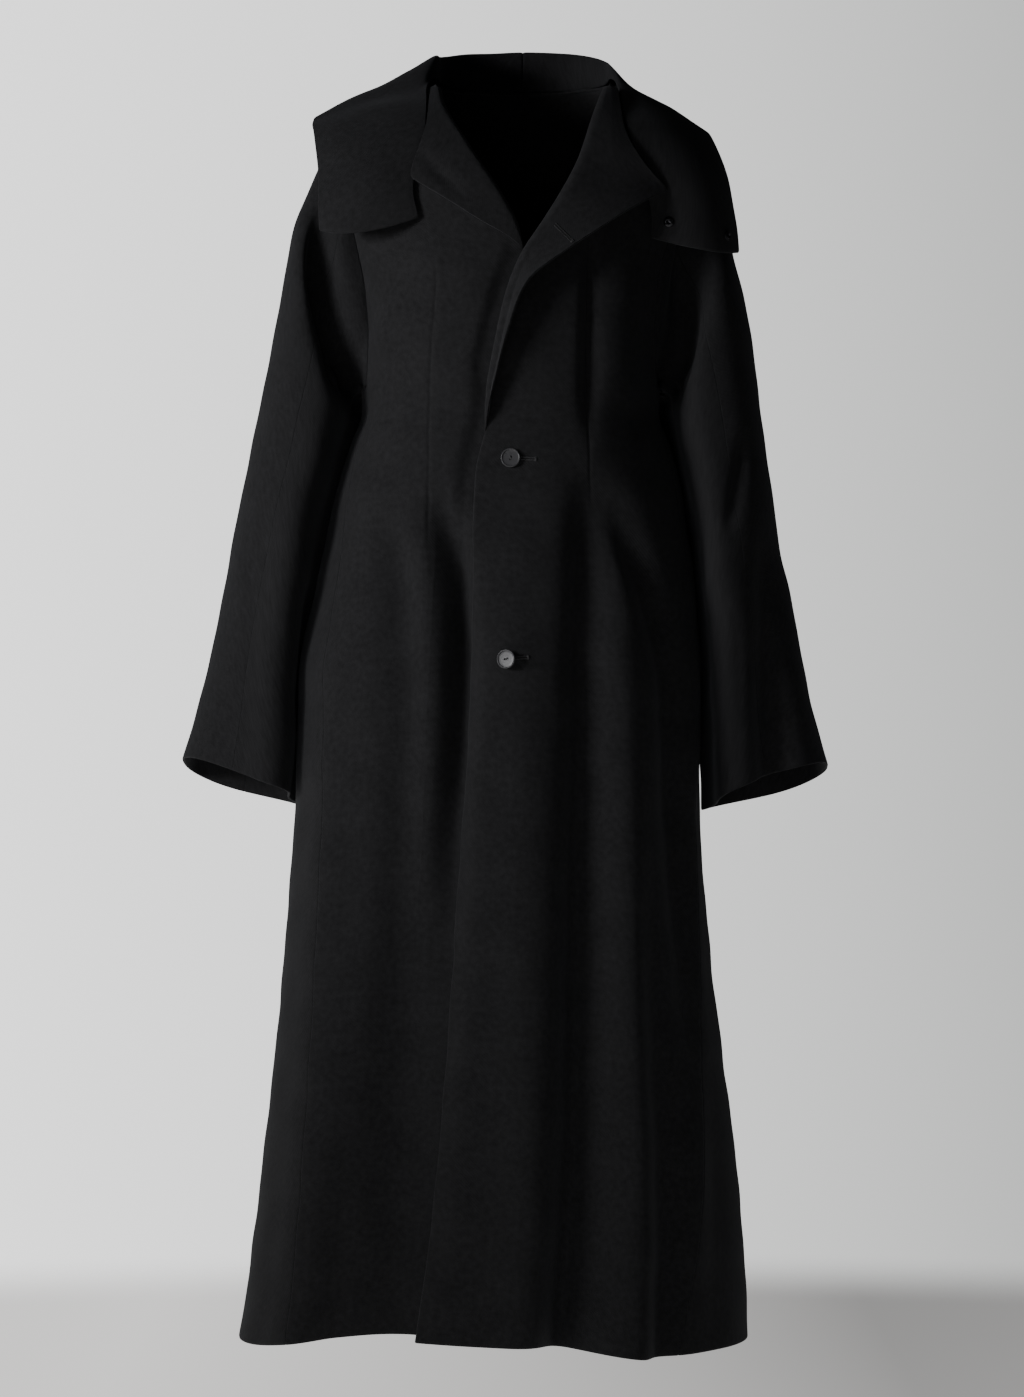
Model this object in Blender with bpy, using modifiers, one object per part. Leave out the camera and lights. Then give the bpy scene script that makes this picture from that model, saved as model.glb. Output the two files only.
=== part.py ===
"""Long hooded coat in heavy black wool, in the hollow form that it has when worn.

Metres, +Z up. The front faces -Y and the wearer's left is +X. The origin is where the coat rests,
at the base of the neck between the shoulders. Each piece of cloth is a closed wall between an outer
and an inner grid of points, and the grids are worked out from the section and fold tables below.
"""

import math

import bmesh
import bpy
import numpy as np
from mathutils import Matrix, Vector


def table(columns, *rows):
    """The columns of a small table, by name."""
    return dict(zip(columns.split(), np.array(rows, float).T))


NAME = "hooded_coat"

# Cloth and sewing
WALL = 0.0025
HOOD_WALL = 0.003
SEAM = 0.0005
LAP_GAP = 0.0034
ARMHOLE_GAP = 0.0018
SLEEVE_SEAM = 0.0020

# Heights of the hem, the hip, the lapels' break point and the armholes' lowest point
HEM = -1.235
HIP = -0.450
BREAK = -0.333
UNDERARM = -0.290

# Neck opening and shoulder line: the shoulder falls from the neck to the tip on each side
NECK_Z = 0.016
NECK_BACK = 0.080
NECK_RIGHT = -0.0745
NECK_LEFT = 0.0985
TIP_RIGHT = -0.176
TIP_LEFT = 0.180
SLOPE_RIGHT = 0.45
SLOPE_LEFT = 0.70
SHOULDER_ROUND = 0.130
SHOULDER_EDGE = 0.020

# Squareness of the body's sections (2 is an ellipse) and the farthest share of a half width that has a depth
SQUARE = 2.3
SIDE_LIMIT = 0.985

# Body sections: reach to each side of the origin and depth to the front and back
BODY = table(
    "z right left front back",
    (-1.235, 0.2715, 0.2370, 0.200, 0.235),
    (-1.150, 0.2590, 0.2330, 0.194, 0.225),
    (-1.050, 0.2470, 0.2240, 0.188, 0.212),
    (-0.907, 0.2315, 0.2055, 0.177, 0.195),
    (-0.795, 0.2220, 0.1940, 0.170, 0.182),
    (-0.700, 0.2155, 0.1885, 0.164, 0.172),
    (-0.580, 0.2130, 0.1900, 0.158, 0.163),
    (-0.470, 0.1910, 0.1820, 0.147, 0.150),
    (-0.420, 0.1810, 0.1750, 0.141, 0.142),
    (-0.380, 0.1710, 0.1680, 0.136, 0.134),
    (-0.340, 0.1590, 0.1570, 0.131, 0.125),
    (-0.315, 0.1480, 0.1480, 0.128, 0.119),
    (-0.290, 0.1500, 0.1500, 0.128, 0.118),
)

# Chest and shoulder sections above the armholes' lowest point
CHEST = table(
    "z half front back",
    (-0.290, 0.150, 0.128, 0.118),
    (-0.230, 0.151, 0.131, 0.121),
    (-0.140, 0.169, 0.128, 0.122),
    (-0.050, 0.196, 0.122, 0.118),
    (0.020, 0.215, 0.118, 0.115),
)

# Seams round the body, in degrees from the front towards the wearer's left
SEAMS = table(
    "z lap right_front left_front side_back underlap",
    (-1.235, -22.0, -54.0, 49.5, 122.0, 17.0),
    (-0.800, -14.6, -57.0, 70.0, 119.0, 13.0),
    (-0.600, -11.6, -60.0, 73.0, 117.0, 11.0),
    (-0.380, -14.0, -68.0, 73.0, 115.0, 12.0),
    (-0.333, -10.4, -71.0, 73.0, 114.0, 14.0),
    (-0.290, -8.0, -73.0, 73.0, 113.0, 15.3),
)

# Skirt folds: where each starts, its way round the body, depth (a trough is below zero) and half width
FOLDS = table(
    "start_z start_turn middle_z middle_turn hem_turn upper_depth hem_depth width",
    (-0.385, -28.0, -0.580, -14.5, -24.0, -0.024, -0.002, 5.5),
    (-0.395, -47.0, -0.620, -33.0, -32.0, -0.012, -0.002, 6.5),
    (-0.370, 32.5, -0.620, 32.0, 20.5, -0.020, -0.038, 8.0),
    (-0.385, 40.0, -0.600, 61.0, 64.0, -0.015, 0.000, 6.0),
    (-0.750, 48.0, -0.950, 47.0, 46.0, -0.004, -0.012, 6.0),
    (-0.420, 3.0, -0.700, 8.0, 9.7, 0.003, 0.010, 9.0),
    (-0.420, 35.0, -0.700, 41.0, 35.3, 0.005, 0.022, 7.0),
    (-0.450, 73.0, -0.800, 69.0, 50.0, 0.004, 0.008, 5.0),
    (-0.480, -58.0, -0.800, -57.0, -54.0, 0.003, 0.010, 8.0),
    (-0.450, 126.0, -0.700, 128.0, 131.0, -0.006, -0.016, 8.0),
    (-0.420, 165.0, -0.700, 160.0, 157.0, -0.008, -0.020, 8.0),
    (-0.400, 194.0, -0.700, 199.0, 203.0, -0.008, -0.022, 8.0),
    (-0.450, 236.0, -0.700, 232.0, 229.0, -0.006, -0.016, 8.0),
    (-0.430, 146.0, -0.700, 144.0, 144.0, 0.004, 0.012, 9.0),
    (-0.430, 180.0, -0.700, 180.0, 180.0, 0.004, 0.012, 10.0),
    (-0.430, 214.0, -0.700, 216.0, 216.0, 0.004, 0.012, 9.0),
)
FOLD_RUN = 0.090

# How the right front steps in under the left: below the armholes in degrees, above them in metres
UNDER_START_TURN = 9.0
UNDER_STEP_TURN = 5.0
UNDER_START = 0.026
UNDER_STEP = 0.010
UNDER_TOP = -0.150
UNDER_TOP_STEP = 0.012

# The right front's skirt hangs flat behind the left front's edge: its greatest depth to the front
UNDER_FLAT = table(
    "z depth",
    (-1.235, 0.142),
    (-1.050, 0.144),
    (-0.850, 0.149),
    (-0.720, 0.166),
    (-0.620, 0.190),
    (-0.550, 0.250),
)
UNDER_FLAT_ROUND = 0.012
UNDER_FLAT_RUN = 12.0

# How far the hem is lifted along the front, and how high up the cloth that shows
HEM_LIFT = table(
    "turn lift",
    (-180.0, 0.000),
    (-75.0, 0.000),
    (-32.0, 0.015),
    (-5.0, 0.011),
    (20.0, 0.008),
    (40.0, -0.003),
    (75.0, 0.000),
    (180.0, 0.000),
)
HEM_LIFT_FADE = 0.250

# Edges of the fronts above the armholes' lowest point: they run up beside the roll lines to the neck
ROLL_LEFT = table(
    "z x",
    (-0.290, -0.0180),
    (-0.200, 0.0030),
    (-0.161, 0.0190),
    (-0.136, 0.0390),
    (-0.096, 0.0680),
    (-0.070, 0.0830),
    (-0.038, 0.0925),
    (-0.013, 0.0975),
    (0.016, 0.0985),
)
ROLL_RIGHT = table(
    "z x",
    (-0.290, 0.0340),
    (-0.220, 0.0300),
    (-0.160, 0.0085),
    (-0.111, -0.0165),
    (-0.060, -0.0465),
    (-0.011, -0.0725),
    (0.016, -0.0745),
)

# Armhole edges, as distances from the middle of the chest
ARMHOLE = table(
    "z front back",
    (-0.290, 0.1450, 0.1420),
    (-0.265, 0.1430, 0.1430),
    (-0.230, 0.1420, 0.1450),
    (-0.140, 0.1570, 0.1590),
    (-0.080, 0.1680, 0.1690),
    (-0.025, 0.1770, 0.1770),
)
CHEST_MIDDLE = 0.004

# Lapels: the height on the roll line, the free edge across from it and the edge's lift off the chest
LAPEL_LEFT = table(
    "z edge_x edge_z lift",
    (-0.350, -0.0270, -0.3510, 0.003),
    (-0.310, -0.0205, -0.3100, 0.008),
    (-0.281, -0.0130, -0.2810, 0.013),
    (-0.242, -0.0020, -0.2410, 0.019),
    (-0.197, 0.0165, -0.1930, 0.024),
    (-0.168, 0.0527, -0.1641, 0.026),
    (-0.145, 0.0840, -0.1427, 0.025),
    (-0.115, 0.1200, -0.1185, 0.023),
    (-0.090, 0.1440, -0.1050, 0.026),
    (-0.074, 0.1531, -0.0997, 0.030),
    (-0.044, 0.1290, -0.0720, 0.021),
    (-0.019, 0.1105, -0.0370, 0.015),
    (-0.001, 0.1050, 0.0020, 0.013),
    (0.012, 0.1012, 0.0145, 0.017),
)
LAPEL_RIGHT = table(
    "z edge_x edge_z lift",
    (-0.170, 0.0080, -0.1710, 0.002),
    (-0.155, -0.0010, -0.1580, 0.006),
    (-0.146, -0.0137, -0.1450, 0.010),
    (-0.126, -0.0400, -0.1261, 0.013),
    (-0.108, -0.0640, -0.1105, 0.014),
    (-0.088, -0.0850, -0.0975, 0.015),
    (-0.074, -0.0985, -0.0880, 0.016),
    (-0.044, -0.0905, -0.0600, 0.014),
    (-0.019, -0.0825, -0.0320, 0.014),
    (-0.001, -0.0795, 0.0020, 0.013),
    (0.012, -0.0775, 0.0135, 0.017),
)
LAPEL_TOP = 0.004
LAPEL_SETTLE = 0.012
LAPEL_LEFT_START = -0.350
LAPEL_RIGHT_START = -0.170
ROLL_RADIUS = {
    "left": table(
        "z radius",
        (-0.350, 0.0006),
        (-0.310, 0.0022),
        (-0.281, 0.0034),
        (-0.242, 0.0045),
        (-0.160, 0.0055),
        (-0.030, 0.0050),
        (0.013, 0.0015),
    ),
    "right": table(
        "z radius", (-0.170, 0.0006), (-0.150, 0.0022), (-0.120, 0.0042), (-0.030, 0.0048), (0.013, 0.0015)
    ),
}

# Sleeve sections: outer and inner ends as distances from the origin, half depth, middle, the rise of the
# front edge, how far the back of the inner side tucks in behind the body and the outside's lean to the back
SLEEVE_RIGHT = table(
    "outer_x outer_z inner_x inner_z depth middle_y front_rise tuck lean",
    (0.2150, -0.125, 0.1570, -0.300, 0.076, 0.004, 0.000, 0.009, 0.000),
    (0.2330, -0.215, 0.1680, -0.342, 0.080, 0.006, 0.000, 0.029, 0.008),
    (0.2545, -0.320, 0.1855, -0.405, 0.080, 0.010, 0.000, 0.021, 0.016),
    (0.2760, -0.425, 0.2010, -0.480, 0.079, 0.013, 0.002, 0.019, 0.020),
    (0.2960, -0.530, 0.2185, -0.565, 0.078, 0.016, 0.004, 0.017, 0.022),
    (0.3135, -0.605, 0.2205, -0.640, 0.078, 0.018, 0.008, 0.018, 0.024),
    (0.3300, -0.663, 0.2220, -0.700, 0.078, 0.020, 0.012, 0.019, 0.026),
)
SLEEVE_LEFT = table(
    "outer_x outer_z inner_x inner_z depth middle_y front_rise tuck lean",
    (0.2160, -0.135, 0.1580, -0.300, 0.076, 0.004, 0.000, 0.000, 0.000),
    (0.2380, -0.225, 0.1660, -0.342, 0.080, 0.006, 0.000, 0.027, 0.008),
    (0.2530, -0.335, 0.1800, -0.405, 0.080, 0.007, 0.000, 0.020, 0.015),
    (0.2680, -0.435, 0.1905, -0.480, 0.079, 0.003, 0.002, 0.019, 0.022),
    (0.2860, -0.525, 0.1975, -0.560, 0.078, 0.002, 0.004, 0.020, 0.021),
    (0.3010, -0.605, 0.2010, -0.640, 0.078, 0.005, 0.008, 0.023, 0.024),
    (0.3180, -0.668, 0.2030, -0.705, 0.078, 0.008, 0.012, 0.023, 0.024),
)

# Hood flaps on the chest, from the closing edge up: inner edge, outer edge, the bow and the sag between them
FLAP_RIGHT = table(
    "inner_x inner_z lift outer_x outer_y outer_z bow sag",
    (-0.0900, -0.1276, 0.0065, -0.1890, -0.096, -0.1390, 0.012, 0.012),
    (-0.0955, -0.0938, 0.0065, -0.1905, -0.092, -0.0980, 0.012, 0.005),
    (-0.0855, -0.0539, 0.0070, -0.1920, -0.076, -0.0650, 0.012, 0.000),
    (-0.0830, -0.0147, 0.0100, -0.1960, -0.050, -0.0380, 0.010, 0.000),
    (-0.0830, 0.0100, 0.0160, -0.1980, -0.024, -0.0260, 0.008, 0.000),
)
FLAP_LEFT = table(
    "inner_x inner_z lift outer_x outer_y outer_z bow sag",
    (0.1380, -0.1462, 0.0065, 0.2270, -0.056, -0.1575, 0.024, 0.013),
    (0.1370, -0.1160, 0.0065, 0.2210, -0.056, -0.1100, 0.024, 0.005),
    (0.1260, -0.0755, 0.0070, 0.2110, -0.052, -0.0680, 0.020, 0.000),
    (0.1130, -0.0300, 0.0100, 0.2000, -0.038, -0.0420, 0.012, 0.000),
    (0.1070, 0.0080, 0.0160, 0.1950, -0.018, -0.0330, 0.008, 0.000),
)

# Shares across a flap that meet the hood's seven points behind the shoulder, and the way the bow goes
FLAP_SHARES = (0.0, 0.08, 0.26, 0.45, 0.63, 0.82, 1.0)
BOW_SIDE = 0.5
BOW_FRONT = -1.0
BOW_UP = 0.3

# Hood from the shoulder (90 degrees) to the centre back (180): reach from the neck's middle and height
HOOD_BACK = table(
    "turn neck_z stand stand_z fall fall_z blade blade_z fold fold_z rise rise_z edge edge_z",
    (90.0, 0.0210, 0.088, 0.042, 0.112, 0.030, 0.137, 0.017, 0.160, 0.006, 0.181, -0.005, 0.206, -0.018),
    (112.0, 0.0180, 0.090, 0.047, 0.118, 0.012, 0.150, -0.010, 0.178, -0.032, 0.196, -0.040, 0.206, -0.034),
    (135.0, 0.0168, 0.093, 0.052, 0.128, -0.005, 0.163, -0.080, 0.188, -0.160, 0.209, -0.138, 0.209, -0.075),
    (157.0, 0.0168, 0.094, 0.056, 0.132, -0.015, 0.155, -0.140, 0.175, -0.262, 0.198, -0.190, 0.201, -0.105),
    (180.0, 0.0168, 0.094, 0.058, 0.134, -0.020, 0.151, -0.180, 0.168, -0.330, 0.192, -0.220, 0.196, -0.120),
)

# The hood's left side sits nearer and lower on the shoulder than its right
HOOD_LEFT_REACH = 0.89
HOOD_LEFT_DROP = 0.016
HOOD_DROP_END = 135.0

# Shares of that reach and drop taken by the hood's points, from the stand out
HOOD_LEFT_SHARES = table(
    "reach drop", (0.0, 0.5), (0.6, 1.0), (1.0, 1.0), (1.0, 1.0), (1.0, 1.0), (1.0, 1.0)
)

# Sleeve fold beside the armhole's front: sections down the sleeve, shares round it and depth
SLEEVE_FOLD = table("along width start_share stop_share depth", (0.70, 0.30, 0.02, 0.42, 0.014))

# Shares round a sleeve at the armhole: front, underarm's front and back ends, back, shoulder tip and front
ARMHOLE_SHARES = (0.25, 0.07, -0.07, -0.25, -0.50, -0.75)
SLEEVE_SPACING = 1.25
SLEEVE_SQUARE = 3.0
TUCK_SHARE = -0.15
TUCK_POWER = 6
MITRE_LIMIT = 0.45

# Buttons and snaps
BUTTON_RADIUS = 0.0095
BUTTON_HEIGHT = 0.0030
BUTTON_HOLE = 0.0009
BUTTON_HOLE_OFFSET = 0.0016
# The lower button leans over on its thread, so it stands further off the cloth.
BUTTONS = table(
    "turn z hole_turn lean gap", (0.35, -0.364, 75.0, 0.0, 0.0007), (2.84, -0.5605, 17.0, -18.0, 0.0033)
)
SNAP_RADIUS = 0.0052
SNAP_HEIGHT = 0.0020
SNAP_GAP = 0.0006
SNAPS = table("station share", (17.42, 0.23), (17.65, 0.80))

# Profiles from the top's middle to the back's, as shares of the radius and of the height
BUTTON_PROFILE = table(
    "radius height",
    (0.0, 0.62),
    (0.78, 0.66),
    (0.86, 0.90),
    (0.925, 1.0),
    (0.98, 0.86),
    (1.0, 0.60),
    (0.92, 0.20),
    (0.70, 0.0),
    (0.0, 0.0),
)
SNAP_PROFILE = table(
    "radius height",
    (0.0, 0.30),
    (0.36, 0.30),
    (0.42, 0.90),
    (0.58, 1.0),
    (0.70, 0.72),
    (0.92, 0.50),
    (1.0, 0.20),
    (0.95, 0.0),
    (0.0, 0.0),
)

# Steps over which the cloth's slope is measured under a button and a snap
BUTTON_STEP_TURN = 0.5
BUTTON_STEP_Z = 0.005
SNAP_STEP_STATION = 0.05
SNAP_STEP_SHARE = 0.02

# Colours
CLOTH_COLOUR = (0.012, 0.012, 0.014, 1.0)
BUTTON_COLOUR = (0.03, 0.03, 0.033, 1.0)
SNAP_COLOUR = (0.08, 0.08, 0.085, 1.0)

# Grid sizes
SKIRT_ROWS = 14
WAIST_ROWS = 5
BREAK_ROWS = 3
CHEST_ROWS = 10
FRONT_COLUMNS = 18
SIDE_COLUMNS = 9
BACK_COLUMNS = 13
SLEEVE_ROWS = 14
LAPEL_ROLL_COLUMNS = 5
LAPEL_COLUMNS = 5
HOOD_STATIONS = 37
HOOD_COLUMNS = 15
ROUND_STEPS = 24
HOLE_STEPS = 12
MERGE = 0.00005
SHARP_ANGLE = 45.0


def smooth(knots, values, at):
    """Values between a table's rows, on a curve that goes through each row and never overshoots."""
    order = np.argsort(knots)
    knots = knots[order]
    values = values[order]
    width = np.diff(knots)
    slope = np.diff(values) / width
    lean = np.zeros_like(values)
    same = slope[1:] * slope[:-1] > 0
    total = np.where(same, slope[1:] + slope[:-1], 1.0)
    lean[1:-1] = np.where(same, 2 * slope[1:] * slope[:-1] / total, 0.0)
    lean[0] = slope[0]
    lean[-1] = slope[-1]
    at = np.clip(at, knots[0], knots[-1])
    i = np.clip(np.searchsorted(knots, at) - 1, 0, len(width) - 1)
    t = (at - knots[i]) / width[i]
    ahead = t * t * (3 - 2 * t)
    bend = lean[i] * t * (1 - t) ** 2 - lean[i + 1] * t * t * (1 - t)
    return values[i] * (1 - ahead) + values[i + 1] * ahead + width[i] * bend


def spline(points, at):
    """Points on a smooth curve through a list of points, at places counted along the list."""
    lean = np.gradient(points, axis=0)
    i = np.clip(np.asarray(at).astype(int), 0, len(points) - 2)
    t = (at - i).reshape((-1,) + (1,) * (points.ndim - 1))
    ahead = t * t * (3 - 2 * t)
    bend = lean[i] * t * (1 - t) ** 2 - lean[i + 1] * t * t * (1 - t)
    return points[i] * (1 - ahead) + points[i + 1] * ahead + bend


def ease(share):
    """A soft step from 0 to 1."""
    share = np.clip(share, 0.0, 1.0)
    return share * share * (3 - 2 * share)


def unit(vectors):
    return vectors / np.linalg.norm(vectors, axis=-1, keepdims=True)


def grid_normals(points, closed=False):
    """Unit normals of a grid, from the neighbours along its columns and rows."""
    if closed:
        along = np.roll(points, -1, axis=1) - np.roll(points, 1, axis=1)
    else:
        along = np.gradient(points, axis=1)
    return unit(np.cross(along, np.gradient(points, axis=0)))


def fold_depth(turn, z):
    """How far the skirt's folds move its surface out, at a place round the body and a height."""
    depth = np.zeros_like(turn)
    for row in zip(*FOLDS.values()):
        start_z, start_turn, middle_z, middle_turn, hem_turn, upper_depth, hem_depth, width = row
        heights = np.array([HEM, middle_z, start_z])
        centre = smooth(heights, np.array([hem_turn, middle_turn, start_turn]), z)
        run = np.array([HEM, start_z - FOLD_RUN, start_z])
        size = smooth(run, np.array([hem_depth, upper_depth, 0.0]), z)
        away = (turn - centre + 180) % 360 - 180
        depth += size * np.exp(-((away / width) ** 2))
    return depth


def body_section(z):
    """Middle, half width, front depth and back depth of the body at a height."""
    names = ("right", "left", "front", "back")
    right, left, front, back = (smooth(BODY["z"], BODY[name], z) for name in names)
    return (left - right) / 2, (left + right) / 2, front, back


def body_points(turn, z, inset=0.0):
    """Points on the body's outer surface below the armholes, moved in by an inset."""
    middle, half, front, back = body_section(z)
    sine = np.sin(np.radians(turn))
    cosine = np.cos(np.radians(turn))
    depth = np.where(cosine > 0, front, back)
    radius = ((np.abs(sine) / half) ** SQUARE + (np.abs(cosine) / depth) ** SQUARE) ** (-1 / SQUARE)
    radius = radius + fold_depth(turn, z) - inset
    return np.stack([middle + radius * sine, -radius * cosine, z], axis=-1)


def shoulder_height(x):
    """Height of the shoulder line, or of the neckline between the shoulders."""
    beyond_left = np.maximum(x - NECK_LEFT, 0.0)
    beyond_right = np.maximum(NECK_RIGHT - x, 0.0)
    return NECK_Z - SLOPE_LEFT * beyond_left - SLOPE_RIGHT * beyond_right


def chest_depth(x, z, side):
    """Depth of the chest's front or back surface at a place above the armholes' lowest point."""
    half = smooth(CHEST["z"], CHEST["half"], z)
    depth = smooth(CHEST["z"], CHEST[side], z)
    away = np.minimum(np.abs(x - CHEST_MIDDLE * (z - UNDERARM) / -UNDERARM) / half, SIDE_LIMIT)
    full = depth * (1 - away**SQUARE) ** (1 / SQUARE)
    below = np.clip((shoulder_height(x) - z) / SHOULDER_ROUND, 0.0, 1.0)
    rounding = np.sqrt(1 - (1 - below) ** 2)
    if side == "front":
        return full * rounding
    neck_middle = (NECK_LEFT + NECK_RIGHT) / 2
    neck_half = (NECK_LEFT - NECK_RIGHT) / 2
    top = NECK_BACK * np.sqrt(np.maximum(1 - ((x - neck_middle) / neck_half) ** 2, 0.0))
    return top + (full - top) * rounding


def front_depth(x, z):
    """Depth of the front surface at any place on the fronts, without the skirt's folds."""
    middle, half, front, _ = body_section(z)
    below = front * (1 - np.minimum(np.abs(x - middle) / half, SIDE_LIMIT) ** SQUARE) ** (1 / SQUARE)
    return np.where(z < UNDERARM, below, chest_depth(x, z, "front"))


def lower_levels():
    skirt = np.linspace(HEM, HIP, SKIRT_ROWS)
    waist = np.linspace(HIP, BREAK, WAIST_ROWS)
    upper = np.linspace(BREAK, UNDERARM, BREAK_ROWS)
    return np.concatenate([skirt, waist[1:], upper[1:]])


def lower_ring():
    """Grid of the body below the armholes, from the left front's edge round the back to the other."""
    levels = lower_levels()
    names = ("lap", "right_front", "left_front", "side_back", "underlap")
    lap, right_front, left_front, side_back, underlap = (
        smooth(SEAMS["z"], SEAMS[name], levels) for name in names
    )
    centre = np.full_like(lap, 180.0)
    stops = [lap, left_front, side_back, centre, 360 - side_back, 360 + right_front, 360 + underlap]
    counts = [FRONT_COLUMNS, SIDE_COLUMNS, BACK_COLUMNS, BACK_COLUMNS, SIDE_COLUMNS, FRONT_COLUMNS]
    turns = [lap[:, None]]
    for start, stop, count in zip(stops, stops[1:], counts):
        share = np.linspace(0, 1, count)[1:]
        turns.append(start[:, None] + (stop - start)[:, None] * share)
    turns = np.concatenate(turns, axis=1)
    z = np.repeat(levels[:, None], turns.shape[1], axis=1)
    signed = (turns + 180) % 360 - 180
    fade = ease(1 - (z - HEM) / HEM_LIFT_FADE)
    z = z + fade * smooth(HEM_LIFT["turn"], HEM_LIFT["lift"], signed)
    past_lap = turns - 360 - lap[:, None]
    under = ease((past_lap + UNDER_START_TURN) / UNDER_STEP_TURN) * (WALL + LAP_GAP)
    points = body_points(turns, z, under)
    over = -points[..., 1] - smooth(UNDER_FLAT["z"], UNDER_FLAT["depth"], z)
    sink = (over + np.sqrt(over**2 + UNDER_FLAT_ROUND**2)) / 2
    past_seam = turns - 360 - right_front[:, None]
    points[..., 1] += sink * ease(past_seam / UNDER_FLAT_RUN)
    return points, np.cumsum([0] + [count - 1 for count in counts])


def chest_rows(low, edge, side):
    """Rows of a front or back above the armholes' lowest point, each column rising to the shoulder."""
    rise = np.sin(np.linspace(0, math.pi / 2, CHEST_ROWS + 1))[1:, None]
    hand = 1.0 if low[-1, 0] + low[0, 0] > 0 else -1.0
    tip_x = TIP_LEFT if hand > 0 else TIP_RIGHT
    across = (low[:, 0] - low[0, 0]) / (low[-1, 0] - low[0, 0])
    armhole_z = UNDERARM + (shoulder_height(tip_x) - UNDERARM) * rise
    armhole_x = smooth(ARMHOLE["z"], ARMHOLE[side], armhole_z)
    start_x = ARMHOLE[side][0]
    end_x = ARMHOLE[side][-1]
    reach = (armhole_x - start_x) / (end_x - start_x)
    armhole_x = low[-1, 0] + (tip_x - low[-1, 0]) * reach
    edge_x = edge(UNDERARM + (NECK_Z - UNDERARM) * rise)
    x = edge_x + (armhole_x - edge_x) * across
    z = UNDERARM + (shoulder_height(x) - UNDERARM) * rise
    sign = -1.0 if side == "front" else 1.0
    return np.stack([x, sign * chest_depth(x, z, side), z], axis=-1)


def wall_mesh(name, outer, inner):
    """A closed wall between two grids of points, with a rim round their edges."""
    rows, columns = outer.shape[:2]
    index = np.arange(2 * rows * columns).reshape(2, rows, columns)
    faces = []
    for layer in index:
        quads = [layer[:-1, :-1], layer[:-1, 1:], layer[1:, 1:], layer[1:, :-1]]
        faces += np.stack(quads, axis=-1).reshape(-1, 4).tolist()
    border = np.concatenate(
        [index[:, 0, :-1], index[:, :-1, -1], index[:, -1, :0:-1], index[:, :0:-1, 0]], axis=1
    )
    for here in range(border.shape[1]):
        back = here - 1
        faces.append([border[0, back], border[0, here], border[1, here], border[1, back]])
    mesh = bpy.data.meshes.new(name)
    points = np.concatenate([outer.reshape(-1, 3), inner.reshape(-1, 3)])
    mesh.from_pydata(points.tolist(), [], faces)
    shape = bmesh.new()
    shape.from_mesh(mesh)
    bmesh.ops.recalc_face_normals(shape, faces=shape.faces)
    shape.to_mesh(mesh)
    shape.free()
    mesh.shade_smooth()
    mesh.set_sharp_from_angle(angle=math.radians(SHARP_ANGLE))
    return mesh


def draw_back(outer, inner, edge, beside, gap):
    """Move one edge of a wall back from its seam, towards the row or column beside it."""
    step = unit(outer[beside] - outer[edge]) * gap
    outer[edge] += step
    inner[edge] += step


def build_body():
    """Outer grids and normals of the six body panels."""
    ring, stops = lower_ring()
    ring_normals = grid_normals(ring)
    low_rows = ring.shape[0]
    names = ["front_left", "side_left", "back_left", "back_right", "side_right", "front_right"]
    panels = {}
    for name, start, stop in zip(names, stops, stops[1:]):
        columns = slice(start, stop + 1)
        panels[name] = [ring[:, columns].copy(), ring_normals[:, columns].copy()]

    def centre_back(z):
        return CHEST_MIDDLE * (z - UNDERARM) / -UNDERARM

    def left_edge(z):
        return smooth(ROLL_LEFT["z"], ROLL_LEFT["x"], z)

    def right_edge(z):
        return smooth(ROLL_RIGHT["z"], ROLL_RIGHT["x"], z)

    edges = {
        "front_left": ("front", left_edge, False),
        "back_left": ("back", centre_back, True),
        "back_right": ("back", centre_back, False),
        "front_right": ("front", right_edge, True),
    }
    for name, (side, edge, armhole_first) in edges.items():
        grid, normals = panels[name]
        low = grid[-1, ::-1] if armhole_first else grid[-1]
        upper = chest_rows(low, edge, side)
        if name == "front_right":
            left = left_edge(upper[..., 2])
            beside_edge = ease((upper[..., 0] - left + UNDER_START) / UNDER_STEP)
            below_top = ease((UNDER_TOP - upper[..., 2]) / UNDER_TOP_STEP)
            upper[..., 1] += beside_edge * below_top * (WALL + LAP_GAP)
        if armhole_first:
            upper = upper[:, ::-1]
        whole = np.concatenate([grid, upper])
        whole_normals = grid_normals(whole)
        whole_normals[: low_rows - 1] = normals[:-1]
        shoulder = np.abs(whole[-1, :, 1]) < SHOULDER_EDGE
        slope = np.where(whole[-1, shoulder, :1] > 0, SLOPE_LEFT, -SLOPE_RIGHT)
        whole_normals[-1, shoulder] = unit(slope * [1.0, 0, 0] + np.array([0, 0, 1.0]))
        panels[name] = [whole, whole_normals]
    return panels, low_rows


def sleeve_ring(sections, hand, shares):
    """Points of each sleeve section at shares round it: 0 towards the body, 0.25 front, 0.5 outside."""
    turn = 2 * math.pi * shares
    rings = []
    fuller = np.abs(np.cos(turn)) ** SLEEVE_SQUARE + np.abs(np.sin(turn)) ** SLEEVE_SQUARE
    fuller = fuller ** (-1 / SLEEVE_SQUARE)
    outward = -fuller * np.cos(turn)
    forward = fuller * np.sin(turn)
    behind = np.maximum(np.cos(turn - 2 * math.pi * TUCK_SHARE), 0.0) ** TUCK_POWER
    for outer_x, outer_z, inner_x, inner_z, depth, middle_y, front_rise, tuck, lean in zip(*sections.values()):
        x = hand * ((outer_x + inner_x) / 2 + (outer_x - inner_x) / 2 * outward - tuck * behind)
        y = middle_y - depth * forward + lean * outward
        z = (outer_z + inner_z) / 2 + (outer_z - inner_z) / 2 * outward + front_rise * forward
        rings.append(np.stack([x, y, z], axis=-1))
    return rings


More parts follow.
